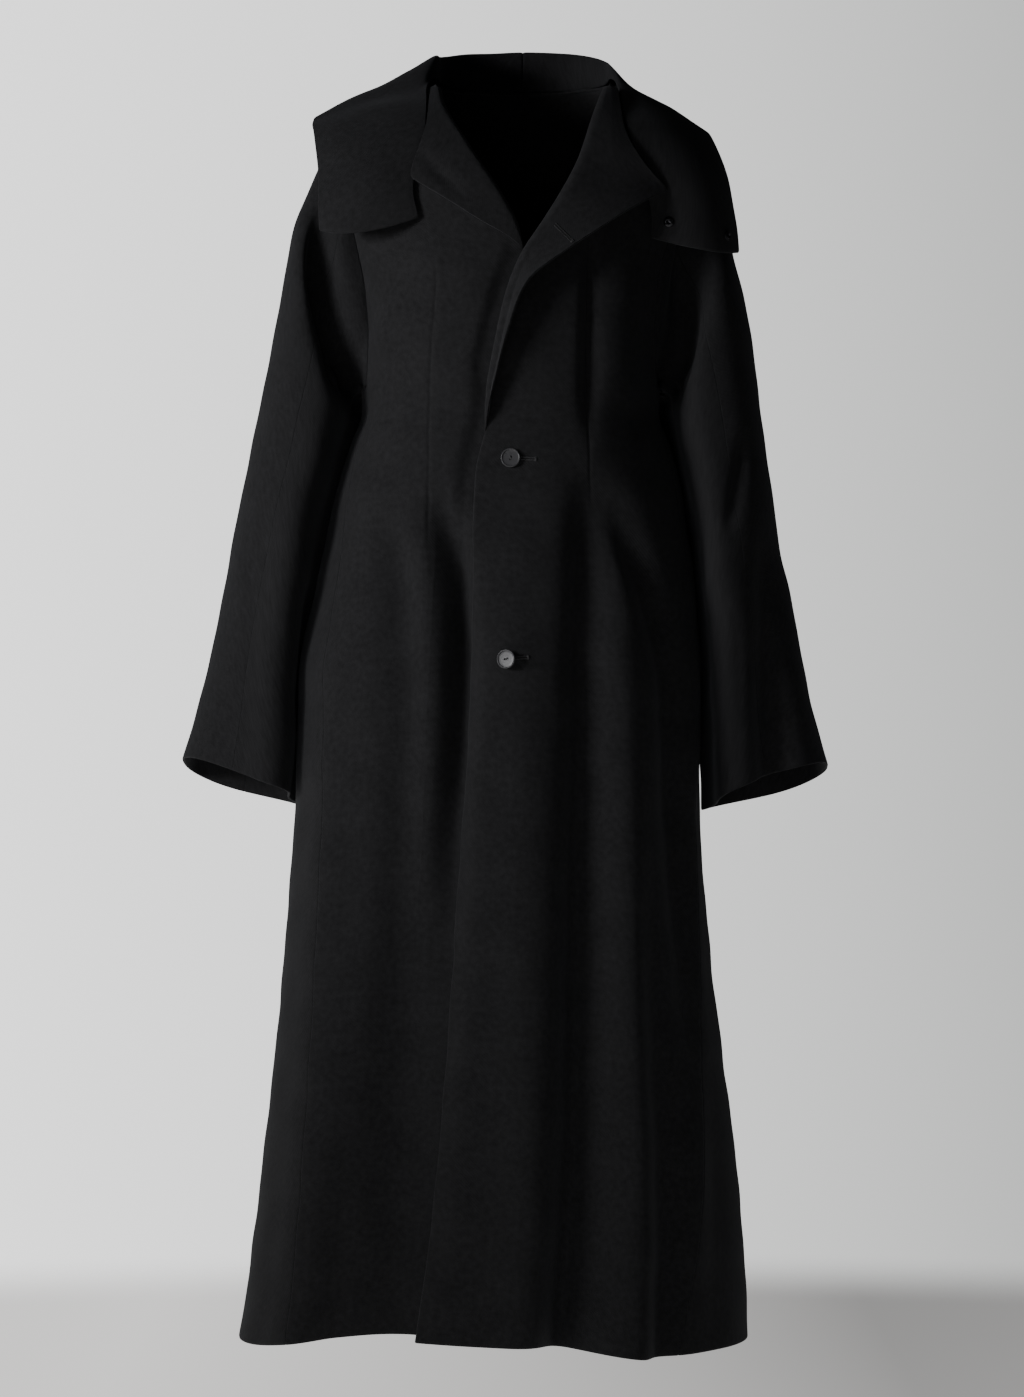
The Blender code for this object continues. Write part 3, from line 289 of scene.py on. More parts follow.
# Hood flaps on the chest, from the closing edge up: inner edge, outer edge, the bow and the sag between them
FLAP_RIGHT = table(
    "inner_x inner_z lift outer_x outer_y outer_z bow sag",
    (-0.0900, -0.1276, 0.0065, -0.1890, -0.096, -0.1390, 0.012, 0.012),
    (-0.0955, -0.0938, 0.0065, -0.1905, -0.092, -0.0980, 0.012, 0.005),
    (-0.0855, -0.0539, 0.0070, -0.1920, -0.076, -0.0650, 0.012, 0.000),
    (-0.0830, -0.0147, 0.0100, -0.1960, -0.050, -0.0380, 0.010, 0.000),
    (-0.0830, 0.0100, 0.0160, -0.1980, -0.024, -0.0260, 0.008, 0.000),
)
FLAP_LEFT = table(
    "inner_x inner_z lift outer_x outer_y outer_z bow sag",
    (0.1380, -0.1462, 0.0065, 0.2270, -0.056, -0.1575, 0.024, 0.013),
    (0.1370, -0.1160, 0.0065, 0.2210, -0.056, -0.1100, 0.024, 0.005),
    (0.1260, -0.0755, 0.0140, 0.2110, -0.052, -0.0680, 0.017, 0.000),
    (0.1130, -0.0300, 0.0200, 0.2000, -0.038, -0.0420, 0.011, 0.000),
    (0.1070, 0.0080, 0.0200, 0.1950, -0.018, -0.0330, 0.008, 0.000),
)

# Shares across a flap that meet the hood's seven points behind the shoulder, and the way the bow goes
FLAP_SHARES = (0.0, 0.08, 0.26, 0.45, 0.63, 0.82, 1.0)
BOW_SIDE = 0.5
BOW_FRONT = -1.0
BOW_UP = 0.3

# Hood from the shoulder to the centre back, in degrees: reach from the neck's middle and height
SHOULDER_TURN = 90.0
BACK_TURN = 180.0
HOOD_BACK = table(
    "turn neck_z stand stand_z fall fall_z blade blade_z fold fold_z rise rise_z edge edge_z",
    (90.0, 0.0210, 0.088, 0.042, 0.112, 0.030, 0.137, 0.017, 0.160, 0.006, 0.181, -0.005, 0.206, -0.018),
    (112.0, 0.0180, 0.090, 0.047, 0.118, 0.012, 0.150, -0.010, 0.178, -0.032, 0.196, -0.040, 0.206, -0.034),
    (135.0, 0.0168, 0.093, 0.052, 0.128, -0.005, 0.163, -0.080, 0.188, -0.160, 0.209, -0.138, 0.209, -0.075),
    (157.0, 0.0168, 0.094, 0.056, 0.132, -0.015, 0.155, -0.140, 0.175, -0.262, 0.198, -0.190, 0.201, -0.105),
    (180.0, 0.0168, 0.094, 0.058, 0.134, -0.020, 0.151, -0.180, 0.168, -0.330, 0.192, -0.220, 0.196, -0.120),
)

# The hood's left side sits nearer and lower on the shoulder than its right
HOOD_LEFT_REACH = 0.89
HOOD_LEFT_DROP = 0.016
HOOD_DROP_END = 135.0

# Shares of that reach and drop taken by the hood's points, from the stand out
HOOD_LEFT_SHARES = table(
    "reach drop", (0.0, 0.5), (0.6, 1.0), (1.0, 1.0), (1.0, 1.0), (1.0, 1.0), (1.0, 1.0)
)

# Buttons and snaps: the lower button leans over on its thread, so it stands further off the cloth
BUTTON_RADIUS = 0.0095
BUTTON_HEIGHT = 0.0030
BUTTON_HOLE = 0.0009
BUTTON_HOLE_OFFSET = 0.0016
DRILL_LENGTH = 0.012
BUTTONS = table(
    "turn z hole_turn lean gap", (0.35, -0.364, 75.0, 0.0, 0.0007), (2.84, -0.5605, 17.0, -18.0, 0.0033)
)
SNAP_RADIUS = 0.0052
SNAP_HEIGHT = 0.0020
SNAP_GAP = 0.0006
SNAPS = table("station share", (17.42, 0.23), (17.65, 0.80))

# Dart lines of the fronts: a column of each grid runs along its line from the shoulder to the hem
DARTS = {
    "front_right": table(
        "z x",
        (-1.235, -0.130), (-0.800, -0.098), (-0.437, -0.0810), (-0.320, -0.0805),
        (-0.245, -0.0775), (-0.185, -0.0735), (0.016, -0.1250),
    ),
    "front_left": table(
        "z x",
        (-1.235, 0.062), (-0.900, 0.068), (-0.600, 0.084), (-0.480, 0.084),
        (-0.385, 0.0775), (-0.290, 0.0765), (-0.145, 0.0775), (0.016, 0.1350),
    ),
}
DART_LINE = {
    "front_right": table(
        "z depth", (-0.460, 0.0), (-0.430, 0.0012), (-0.260, 0.0012), (-0.185, 0.0009), (-0.165, 0.0)
    ),
    "front_left": table("z depth", (-0.420, 0.0), (-0.380, 0.0010), (-0.180, 0.0016), (-0.140, 0.0)),
}
DART_HALF = 0.0016

# The dart's place among a front's columns, the columns close beside it in half widths, the trial columns
# that find its line, and the shares across the front that it stays between
DART_COLUMN = {"front_right": 0.5, "front_left": 0.55}
DART_BESIDE = (-3, -1, 1, 3)
DART_TRIALS = 241
DART_LIMITS = (0.12, 0.88)

# Creases in the front of a piece: places along each as x and z from the front, depth (a ridge is below
# zero) and half width
CREASES = (
    (
        "lapel_right",
        (-0.0900, -0.064, 0.0010, 0.005),
        (-0.0780, -0.077, 0.0035, 0.006),
        (-0.0600, -0.094, 0.0030, 0.007),
        (-0.0460, -0.107, 0.0000, 0.008),
    ),
    (
        "front_left",
        (0.0775, -0.135, 0.000, 0.006),
        (0.0780, -0.170, 0.007, 0.007),
        (0.0780, -0.230, 0.009, 0.008),
        (0.0770, -0.290, 0.008, 0.008),
        (0.0765, -0.330, 0.003, 0.008),
        (0.0770, -0.360, 0.000, 0.008),
    ),
    (
        "front_left",
        (0.1080, -0.150, 0.000, 0.018),
        (0.1110, -0.190, -0.004, 0.018),
        (0.1100, -0.260, -0.004, 0.018),
        (0.1060, -0.330, 0.000, 0.018),
    ),
    (
        "sleeve_right",
        (-0.192, -0.115, 0.004, 0.012),
        (-0.190, -0.150, 0.012, 0.013),
        (-0.186, -0.208, 0.018, 0.013),
        (-0.171, -0.272, 0.016, 0.012),
        (-0.153, -0.308, 0.004, 0.010),
    ),
    (
        "sleeve_right",
        (-0.212, -0.370, 0.000, 0.018),
        (-0.219, -0.430, -0.007, 0.019),
        (-0.225, -0.520, -0.010, 0.020),
        (-0.228, -0.615, -0.012, 0.021),
        (-0.234, -0.720, -0.008, 0.021),
    ),
    (
        "front_right",
        (-0.075, -0.640, 0.000, 0.028),
        (-0.088, -0.740, 0.007, 0.030),
        (-0.099, -0.870, 0.014, 0.035),
        (-0.103, -1.050, 0.017, 0.042),
        (-0.108, -1.240, 0.017, 0.046),
    ),
    (
        "sleeve_left",
        (0.176, -0.110, 0.004, 0.012),
        (0.171, -0.155, 0.016, 0.013),
        (0.167, -0.228, 0.022, 0.014),
        (0.158, -0.295, 0.010, 0.012),
    ),
    (
        "sleeve_left",
        (0.250, -0.410, 0.000, 0.014),
        (0.258, -0.490, 0.012, 0.017),
        (0.260, -0.592, 0.020, 0.018),
        (0.263, -0.668, 0.021, 0.019),
        (0.266, -0.760, 0.019, 0.021),
    ),
    (
        "sleeve_left",
        (0.222, -0.500, 0.000, 0.010),
        (0.223, -0.550, 0.002, 0.011),
        (0.224, -0.620, 0.002, 0.011),
        (0.226, -0.680, 0.000, 0.011),
    ),
    (
        "sleeve_left",
        (0.2320, -0.335, 0.000, 0.006),
        (0.2295, -0.358, 0.005, 0.007),
        (0.2200, -0.405, 0.005, 0.007),
        (0.2120, -0.440, 0.000, 0.007),
    ),
)
CREASE_STEPS = 8

# Creases fade where the cloth turns from the front: the facing they end at and the way they fade over
CREASE_TURN = 0.1
CREASE_TURN_RUN = 0.4

# Unevenness of the cloth: way of each wave, its length and its height, and how fast all turn with height
RIPPLES = table(
    "x y z length height",
    (1.0, 0.3, 0.35, 0.083, 0.00035),
    (-0.6, 0.8, 0.30, 0.061, 0.00025),
    (0.4, -0.5, 1.00, 0.117, 0.00035),
    (0.9, 0.7, -0.50, 0.047, 0.00018),
    (-0.3, 0.2, 1.00, 0.071, 0.00025),
)
RIPPLE_DRIFT = 3.0

# Grid sizes
LOWER_ROWS = 108
UPPER_ROWS = 48
COLUMNS = {"front": 42, "side": 20, "back": 30}
SLEEVE_ROWS = 74
ARMHOLE_FRONT = 24
ARMHOLE_UNDER = 18
ARMHOLE_BACK = 44
LAPEL_ROLL_COLUMNS = 9
LAPEL_COLUMNS = 18
HOOD_STATIONS = 129
HOOD_COLUMNS = 52
ROUND_STEPS = 64
FLOOR_STEPS = 96
SHARP_ANGLE = 40.0

# Rows and columns kept beside edges so that their rounding stays small: in metres on a panel of usual width,
# as shares of a row or column, and as sections down a sleeve
PANEL_WIDTH = 0.2
SEAM_SUPPORT = 0.0012
EDGE_SUPPORT = 0.0026
SUPPORT_CLEAR = 1.8
SHOULDER_SUPPORT = 0.25
SLEEVE_SEAM_SUPPORT = 0.25
LAPEL_SUPPORT = 0.3
ARMHOLE_SUPPORT = 0.015
CUFF_SUPPORT = 0.03

# How far down a sleeve its creases start, and the share of its box that a hood half's curved cut fills
ARMHOLE_EASE = 0.012
HOOD_FILL = 0.5

# Profiles of the buttons and snaps, top to bottom, as shares of their radius and height
BUTTON_PROFILE = (
    (0.0, 0.62), (0.30, 0.62), (0.60, 0.64), (0.78, 0.66), (0.82, 0.69), (0.855, 0.88), (0.89, 0.98),
    (0.925, 1.0), (0.96, 0.94), (0.985, 0.82), (1.0, 0.62), (0.99, 0.45), (0.96, 0.26), (0.88, 0.09),
    (0.72, 0.0), (0.0, 0.0),
)
SNAP_PROFILE = (
    (0.0, 0.10), (0.10, 0.12), (0.20, 0.18), (0.28, 0.30), (0.34, 0.50), (0.39, 0.76), (0.43, 0.92),
    (0.50, 1.0), (0.58, 0.99), (0.65, 0.86), (0.70, 0.72), (0.78, 0.62), (0.88, 0.56), (0.95, 0.46),
    (1.0, 0.24), (0.97, 0.04), (0.90, 0.0), (0.0, 0.0),
)

# Buttonholes: their piece and two ends as x and z from the front, the first one under the button
BUTTONHOLES = {
    "buttonhole_upper": ("front_left", (-0.0005, -0.3634), (0.0231, -0.3648)),
    "buttonhole_lower": ("front_left", (-0.0046, -0.5601), (0.0157, -0.5585)),
    "buttonhole_lapel": ("lapel_left", (0.0430, -0.1364), (0.0596, -0.1530)),
}

# Threads and stitches
THREAD_RADIUS = 0.00028
THREAD_END = 0.35
THREAD_SIDES = 8
THREAD_ASIDE = (0.31, 0.52, 0.79)
STITCH_PITCH = 0.0007
STITCH_POINTS = 6
STITCH_NEAR = 0.0005
STITCH_FAR = 0.0018
STITCH_RISE = 0.0005
STITCH_UNEVEN = 0.0002
STITCH_VARY = 2.4
BAR_STITCHES = 5
BAR_REACH = 0.0023
BAR_RISE = 2.0
SLIT_RADIUS = 0.0004
STRANDS = (-0.0004, 0.0, 0.0004)
STRAND_POINTS = 9
STRAND_RISE = 0.0006
STRAND_DIP = 0.0008
STRAND_POWER = 4


def smooth(knots, values, at):
    """Values between a table's rows, on a curve that goes through each row and never overshoots."""
    order = np.argsort(knots)
    knots = knots[order]
    values = values[order]
    width = np.diff(knots)
    slope = np.diff(values) / width
    lean = np.zeros_like(values)
    same = slope[1:] * slope[:-1] > 0
    total = np.where(same, slope[1:] + slope[:-1], 1.0)
    lean[1:-1] = np.where(same, 2 * slope[1:] * slope[:-1] / total, 0.0)
    lean[0] = slope[0]
    lean[-1] = slope[-1]
    at = np.clip(at, knots[0], knots[-1])
    i = np.clip(np.searchsorted(knots, at) - 1, 0, len(width) - 1)
    t = (at - knots[i]) / width[i]
    ahead = t * t * (3 - 2 * t)
    bend = lean[i] * t * (1 - t) ** 2 - lean[i + 1] * t * t * (1 - t)
    return values[i] * (1 - ahead) + values[i + 1] * ahead + width[i] * bend


def spline(points, at):
    """Points on a smooth curve through a list of points, at places counted along the list."""
    lean = np.gradient(points, axis=0)
    i = np.clip(np.asarray(at).astype(int), 0, len(points) - 2)
    t = (at - i).reshape((-1,) + (1,) * (points.ndim - 1))
    ahead = t * t * (3 - 2 * t)
    bend = lean[i] * t * (1 - t) ** 2 - lean[i + 1] * t * t * (1 - t)
    return points[i] * (1 - ahead) + points[i + 1] * ahead + bend


def ease(share):
    """A soft step from 0 to 1."""
    share = np.clip(share, 0.0, 1.0)
    return share * share * (3 - 2 * share)


def unit(vectors):
    return vectors / np.linalg.norm(vectors, axis=-1, keepdims=True)


def grid_normals(points, closed=False):
    """Unit normals of a grid, from the neighbours along its columns and rows."""
    if closed:
        along = np.roll(points, -1, axis=1) - np.roll(points, 1, axis=1)
    else:
        along = np.gradient(points, axis=1)
    return unit(np.cross(along, np.gradient(points, axis=0)))


def grid_lengths(points, axis):
    """Distances along each row or column of a grid from its first point."""
    steps = np.diff(points, axis=axis, prepend=np.take(points, [0], axis=axis))
    return np.cumsum(np.linalg.norm(steps, axis=-1), axis=axis)


def fold_depth(turn, z):
    """How far the skirt's folds move its surface out, at a place round the body and a height."""
    depth = np.zeros_like(turn)
    for row in zip(*FOLDS.values()):
        start_z, start_turn, middle_z, middle_turn, hem_turn, upper_depth, hem_depth, width = row
        heights = np.array([HEM, middle_z, start_z])
        centre = smooth(heights, np.array([hem_turn, middle_turn, start_turn]), z)
        run = np.array([HEM, start_z - FOLD_RUN, start_z])
        size = smooth(run, np.array([hem_depth, upper_depth, 0.0]), z)
        away = (turn - centre + 180) % 360 - 180
        depth += size * np.exp(-((away / width) ** 2))
    return depth


def body_section(z):
    """Middle, half width, front depth and back depth of the body at a height."""
    names = ("right", "left", "front", "back")
    right, left, front, back = (smooth(BODY["z"], BODY[name], z) for name in names)
    return (left - right) / 2, (left + right) / 2, front, back


def body_points(turn, z, inset=0.0):
    """Points on the body's outer surface below the armholes, moved in by an inset."""
    middle, half, front, back = body_section(z)
    sine = np.sin(np.radians(turn))
    cosine = np.cos(np.radians(turn))
    depth = np.where(cosine > 0, front, back)
    radius = ((np.abs(sine) / half) ** SQUARE + (np.abs(cosine) / depth) ** SQUARE) ** (-1 / SQUARE)
    radius = radius + fold_depth(turn, z) - inset
    return np.stack([middle + radius * sine, -radius * cosine, z], axis=-1)


def shoulder_height(x):
    """Height of the shoulder line, or of the neckline between the shoulders."""
    beyond_left = np.maximum(x - NECK_LEFT, 0.0)
    beyond_right = np.maximum(NECK_RIGHT - x, 0.0)
    return NECK_Z - SLOPE_LEFT * beyond_left - SLOPE_RIGHT * beyond_right


def chest_depth(x, z, side):
    """Depth of the chest's front or back surface at a place above the armholes' lowest point."""
    half = smooth(CHEST["z"], CHEST["half"], z)
    depth = smooth(CHEST["z"], CHEST[side], z)
    away = np.minimum(np.abs(x - CHEST_MIDDLE * (z - UNDERARM) / -UNDERARM) / half, SIDE_LIMIT)
    full = depth * (1 - away**SQUARE) ** (1 / SQUARE)
    below = np.clip((shoulder_height(x) - z) / SHOULDER_ROUND, 0.0, 1.0)
    rounding = np.sqrt(1 - (1 - below) ** 2)
    if side == "front":
        return full * rounding
    neck_middle = (NECK_LEFT + NECK_RIGHT) / 2
    neck_half = (NECK_LEFT - NECK_RIGHT) / 2
    top = NECK_BACK * np.sqrt(np.maximum(1 - ((x - neck_middle) / neck_half) ** 2, 0.0))
    return top + (full - top) * rounding


def front_depth(x, z):
    """Depth of the front surface at any place on the fronts, without the skirt's folds."""
    middle, half, front, _ = body_section(z)
    below = front * (1 - np.minimum(np.abs(x - middle) / half, SIDE_LIMIT) ** SQUARE) ** (1 / SQUARE)
    return np.where(z < UNDERARM, below, chest_depth(x, z, "front"))


def front_edge(name, z):
    """Where a front's edge, or the centre back seam, is above the armholes' lowest point."""
    if name == "front_left":
        return smooth(ROLL_LEFT["z"], ROLL_LEFT["x"], z)
    if name == "front_right":
        return smooth(ROLL_RIGHT["z"], ROLL_RIGHT["x"], z)
    return CHEST_MIDDLE * (z - UNDERARM) / -UNDERARM


def lower_points(name, levels, shares):
    """A body panel below the armholes, at levels and at shares from its first seam to its last."""
    at = {key: smooth(SEAMS["z"], SEAMS[key], levels) for key in SEAMS}
    lap = at["lap"]
    seams = {
        "lap": lap,
        "left_front": at["left_front"],
        "left_back": at["side_back"],
        "centre": np.full_like(lap, BACK_TURN),
        "right_back": 360 - at["side_back"],
        "right_front": 360 + at["right_front"],
        "underlap": 360 + at["underlap"],
    }
    start, stop = (seams[end][:, None] for end in PANEL_ENDS[name])
    turn = start + (stop - start) * shares
    signed = (turn + 180) % 360 - 180
    z = levels[:, None] + np.zeros_like(shares)
    fade = ease(1 - (z - HEM) / HEM_LIFT_FADE)
    z = z + fade * smooth(HEM_LIFT["turn"], HEM_LIFT["lift"], signed)
    past_lap = turn - 360 - lap[:, None]
    under = ease((past_lap + UNDER_START_TURN) / UNDER_STEP_TURN) * (WALL + LAP_GAP)
    points = body_points(turn, z, under)
    if name == "front_right":
        over = -points[..., 1] - smooth(UNDER_FLAT["z"], UNDER_FLAT["depth"], z)
        sink = (over + np.sqrt(over**2 + UNDER_FLAT_ROUND**2)) / 2
        points[..., 1] += sink * ease((turn - start) / UNDER_FLAT_RUN)
    return points


def upper_points(name, rises, shares):
    """A front or back above the armholes, at shares of the way up to the shoulder and across."""
    side = name.split("_")[0]
    left = name.endswith("left")
    armhole_first = name in ("back_left", "front_right")
    level = np.full(len(rises), UNDERARM)
    low_x = lower_points(name, level, shares)[..., 0]
    ends = lower_points(name, level[:1], np.array([[0.0, 1.0]]))[0, :, 0]
    near_x, far_x = ends[::-1] if armhole_first else ends
    across = (low_x - near_x) / (far_x - near_x)
    rise = rises[:, None]
    tip_x = TIP_LEFT if left else TIP_RIGHT
    armhole_z = UNDERARM + (shoulder_height(tip_x) - UNDERARM) * rise
    start_x = ARMHOLE[side][0]
    end_x = ARMHOLE[side][-1]
    reach = (smooth(ARMHOLE["z"], ARMHOLE[side], armhole_z) - start_x) / (end_x - start_x)
    armhole_x = far_x + (tip_x - far_x) * reach
    edge_x = front_edge(name, UNDERARM + (NECK_Z - UNDERARM) * rise)
    x = edge_x + (armhole_x - edge_x) * across
    z = UNDERARM + (shoulder_height(x) - UNDERARM) * rise
    y = chest_depth(x, z, side) * (-1.0 if side == "front" else 1.0)
    if name == "front_right":
        beside_edge = ease((x - front_edge("front_left", z) + UNDER_START) / UNDER_STEP)
        y = y + beside_edge * ease((UNDER_TOP - z) / UNDER_TOP_STEP) * (WALL + LAP_GAP)
    return np.stack([x, y, z], axis=-1)


def column_shares(count, first_support, last_support):
    """Even shares across a panel, with one more beside each edge."""
    even = np.linspace(0, 1, count)
    first = first_support / PANEL_WIDTH
    last = last_support / PANEL_WIDTH
    inner = even[(even > SUPPORT_CLEAR * first) & (even < 1 - SUPPORT_CLEAR * last)]
    return np.concatenate([[0.0, first], inner, [1 - last, 1.0]])


def panel_grid(name):
    """Fine outer grid of a body panel, and how many of its rows are below the armholes."""
    side = name.split("_")[0]
    levels = np.linspace(HEM, UNDERARM, LOWER_ROWS)
    levels = np.concatenate([[HEM, HEM + EDGE_SUPPORT], levels[1:]])
    if side == "side":
        levels = np.concatenate([levels[:-1], [UNDERARM - SEAM_SUPPORT, UNDERARM]])
    rises = np.zeros(0)
    if side != "side":
        steps = np.linspace(0, 1, UPPER_ROWS)
        steps = np.concatenate([steps[1:-1], [1 - SHOULDER_SUPPORT / UPPER_ROWS, 1.0]])
        rises = np.sin(steps * math.pi / 2)
    first = EDGE_SUPPORT if name == "front_left" else SEAM_SUPPORT
    last = EDGE_SUPPORT if name == "front_right" else SEAM_SUPPORT
    base = column_shares(COLUMNS[side], first, last)

    def points(shares):
        low = lower_points(name, levels, shares[: len(levels)])
        if not len(rises):
            return low
        return np.concatenate([low, upper_points(name, rises, shares[len(levels) :])])

    count = len(levels) + len(rises)
    shares = np.repeat(base[None, :], count, axis=0)
    if name not in DARTS:
        return points(shares), len(levels), None
    # Columns are moved so that one of them, with one close on each side, runs along the dart's line.
    dense = np.linspace(0, 1, DART_TRIALS)
    trial = points(np.repeat(dense[None, :], count, axis=0))
    dart_share = np.zeros(count)
    for row in range(count):
        x = trial[row, :, 0]
        want = smooth(DARTS[name]["z"], DARTS[name]["x"], trial[row, len(dense) // 2, 2])
        order = np.argsort(x)
        dart_share[row] = np.interp(want, x[order], dense[order])
    dart_share = np.clip(dart_share, *DART_LIMITS)
    fixed = base[int(DART_COLUMN[name] * len(base))]
    close = DART_HALF / PANEL_WIDTH
    base = np.unique(np.concatenate([base, fixed + close * np.array(DART_BESIDE)]))
    column = int(np.argmin(np.abs(base - fixed)))
    shares = np.where(
        base[None, :] < fixed,
        base[None, :] / fixed * dart_share[:, None],
        1 - (1 - base[None, :]) / (1 - fixed) * (1 - dart_share[:, None]),
    )
    return points(shares), len(levels), column


def sleeve_ring(sections, hand, shares):
    """Points of each sleeve section at shares round it: 0 towards the body, 0.25 front, 0.5 outside."""
    turn = 2 * math.pi * shares
    rings = []
    fuller = np.abs(np.cos(turn)) ** SLEEVE_SQUARE + np.abs(np.sin(turn)) ** SLEEVE_SQUARE
    fuller = fuller ** (-1 / SLEEVE_SQUARE)
    outward = -fuller * np.cos(turn)
    forward = fuller * np.sin(turn)
    behind = np.maximum(np.cos(turn - 2 * math.pi * TUCK_SHARE), 0.0) ** TUCK_POWER
    for row in zip(*sections.values()):
        outer_x, outer_z, inner_x, inner_z, depth, middle_y, front_rise, tuck, lean = row
        x = hand * ((outer_x + inner_x) / 2 + (outer_x - inner_x) / 2 * outward - tuck * behind)
        y = middle_y - depth * forward + lean * outward
        z = (outer_z + inner_z) / 2 + (outer_z - inner_z) / 2 * outward + front_rise * forward
        rings.append(np.stack([x, y, z], axis=-1))
    return rings


def armhole_loop(side, places):
    """Points round an armhole: down the front from its middle, under the arm, up the back and over."""
    stops = np.cumsum([ARMHOLE_FRONT, ARMHOLE_UNDER, ARMHOLE_BACK, ARMHOLE_FRONT])
    left = side == "left"
    loop = []
    for place in places:
        if place <= stops[0]:
            step = 0.5 * (1 - place / ARMHOLE_FRONT)
            name = "front_"
        elif place < stops[1]:
            share = (place - stops[0]) / ARMHOLE_UNDER
            share = share if left else 1 - share
            loop.append(lower_points("side_" + side, np.array([UNDERARM]), np.array([[share]]))[0, 0])
            continue
        elif place <= stops[2]:
            step = (place - stops[1]) / ARMHOLE_BACK
            name = "back_"
        else:
            step = 1 - 0.5 * (place - stops[2]) / ARMHOLE_FRONT
            name = "front_"
        column = 1.0 if (name == "front_") == left else 0.0
        rises = np.array([math.sin(step * math.pi / 2)])
        loop.append(upper_points(name + side, rises, np.array([[column]]))[0, 0])
    anchors = np.array([0, stops[0], stops[1], stops[1] + ARMHOLE_BACK / 2, stops[2], stops[3]], float)
    return np.array(loop), np.interp(places, anchors, ARMHOLE_SHARES) % 1.0


def sleeve_grid(side):
    """Fine outer grid of a sleeve from the armhole to the cuff, and the column of its back seam."""
    hand = 1.0 if side == "left" else -1.0
    count = 2 * ARMHOLE_FRONT + ARMHOLE_UNDER + ARMHOLE_BACK
    back_seam = ARMHOLE_FRONT + ARMHOLE_UNDER + ARMHOLE_BACK / 2
    close = SLEEVE_SEAM_SUPPORT
    beside = [close, back_seam - close, back_seam + close, count - close]
    places = np.unique(np.concatenate([np.arange(count), beside]))
    loop, shares = armhole_loop(side, places)
    sections = SLEEVE_LEFT if hand > 0 else SLEEVE_RIGHT
    rings = np.array([loop] + sleeve_ring(sections, hand, shares))
    last = len(rings) - 1
    along = np.linspace(0, 1, SLEEVE_ROWS) ** SLEEVE_SPACING * last
    along = np.unique(np.concatenate([along, [ARMHOLE_SUPPORT, last - CUFF_SUPPORT]]))
    grid = spline(rings, along)
    normals = grid_normals(grid, closed=True) * hand
    for centre, width, start_share, stop_share, depth in zip(*SLEEVE_FOLD.values()):
        down = np.exp(-(((along - centre) / width) ** 2))[:, None]
        middle_share = (start_share + stop_share) / 2
        round_it = ease(2 - 4 * np.abs(shares - middle_share) / (stop_share - start_share))
        clear = ease(along / SLEEVE_FOLD_CLEAR)[:, None]
        grid = grid - normals * (depth * down * round_it * clear)[..., None]
    return grid, int(np.argmin(np.abs(places - back_seam)))


def build_hood():
    """Control net of the hood: a row for each station from the right flap round the back to the left."""
    shares = np.array(FLAP_SHARES)[:, None]
    neck_middle = (NECK_LEFT + NECK_RIGHT) / 2
    neck_half = (NECK_LEFT - NECK_RIGHT) / 2

    def flap_rows(flap):
        rows = []
        for inner_x, inner_z, off, outer_x, outer_y, outer_z, bow, sag in zip(*flap.values()):
            inner_y = -front_depth(np.array(inner_x), np.array(inner_z)) - off
            inner = np.array([inner_x, inner_y, inner_z])
            outer = np.array([outer_x, outer_y, outer_z])
            way = unit(np.array([np.sign(inner_x) * BOW_SIDE, BOW_FRONT, BOW_UP]))
            lift = 4 * shares * (1 - shares) * (bow * way - np.array([0, 0, sag]))
            rows.append(inner + (outer - inner) * shares + lift)
        return rows

    def back_row(row, hand):
        turn = math.radians(row[0])
        pairs = np.array(row[2:]).reshape(-1, 2)
        out = np.array([hand * math.sin(turn), -math.cos(turn), 0.0])
        neck = np.array([hand * neck_half * math.sin(turn), -NECK_BACK * math.cos(turn), row[1]])
        if hand > 0:
            near = ease((BACK_TURN - row[0]) / (BACK_TURN - SHOULDER_TURN))
            drop = HOOD_LEFT_DROP * ease((HOOD_DROP_END - row[0]) / (HOOD_DROP_END - SHOULDER_TURN))
            pairs[:, 0] *= 1 - (1 - HOOD_LEFT_REACH) * near * HOOD_LEFT_SHARES["reach"]
            pairs[:, 1] -= drop * HOOD_LEFT_SHARES["drop"]
        points = [neck] + [out * reach + np.array([0, 0, height]) for reach, height in pairs]
        return np.array(points) + np.array([neck_middle, 0, 0])

    backs = list(zip(*HOOD_BACK.values()))
    net = flap_rows(FLAP_RIGHT)
    net += [back_row(row, -1.0) for row in backs[:-1]]
    net += [back_row(row, 1.0) for row in reversed(backs)]
    net += flap_rows(FLAP_LEFT)[::-1]
    return np.array(net)


def hood_points(net, stations, shares):
    """Points on the hood at stations counted along it and shares from the neck to the face edge."""
    rows = spline(net, np.asarray(stations, float))
    return spline(np.swapaxes(rows, 0, 1), np.asarray(shares, float) * (net.shape[1] - 1)).swapaxes(0, 1)


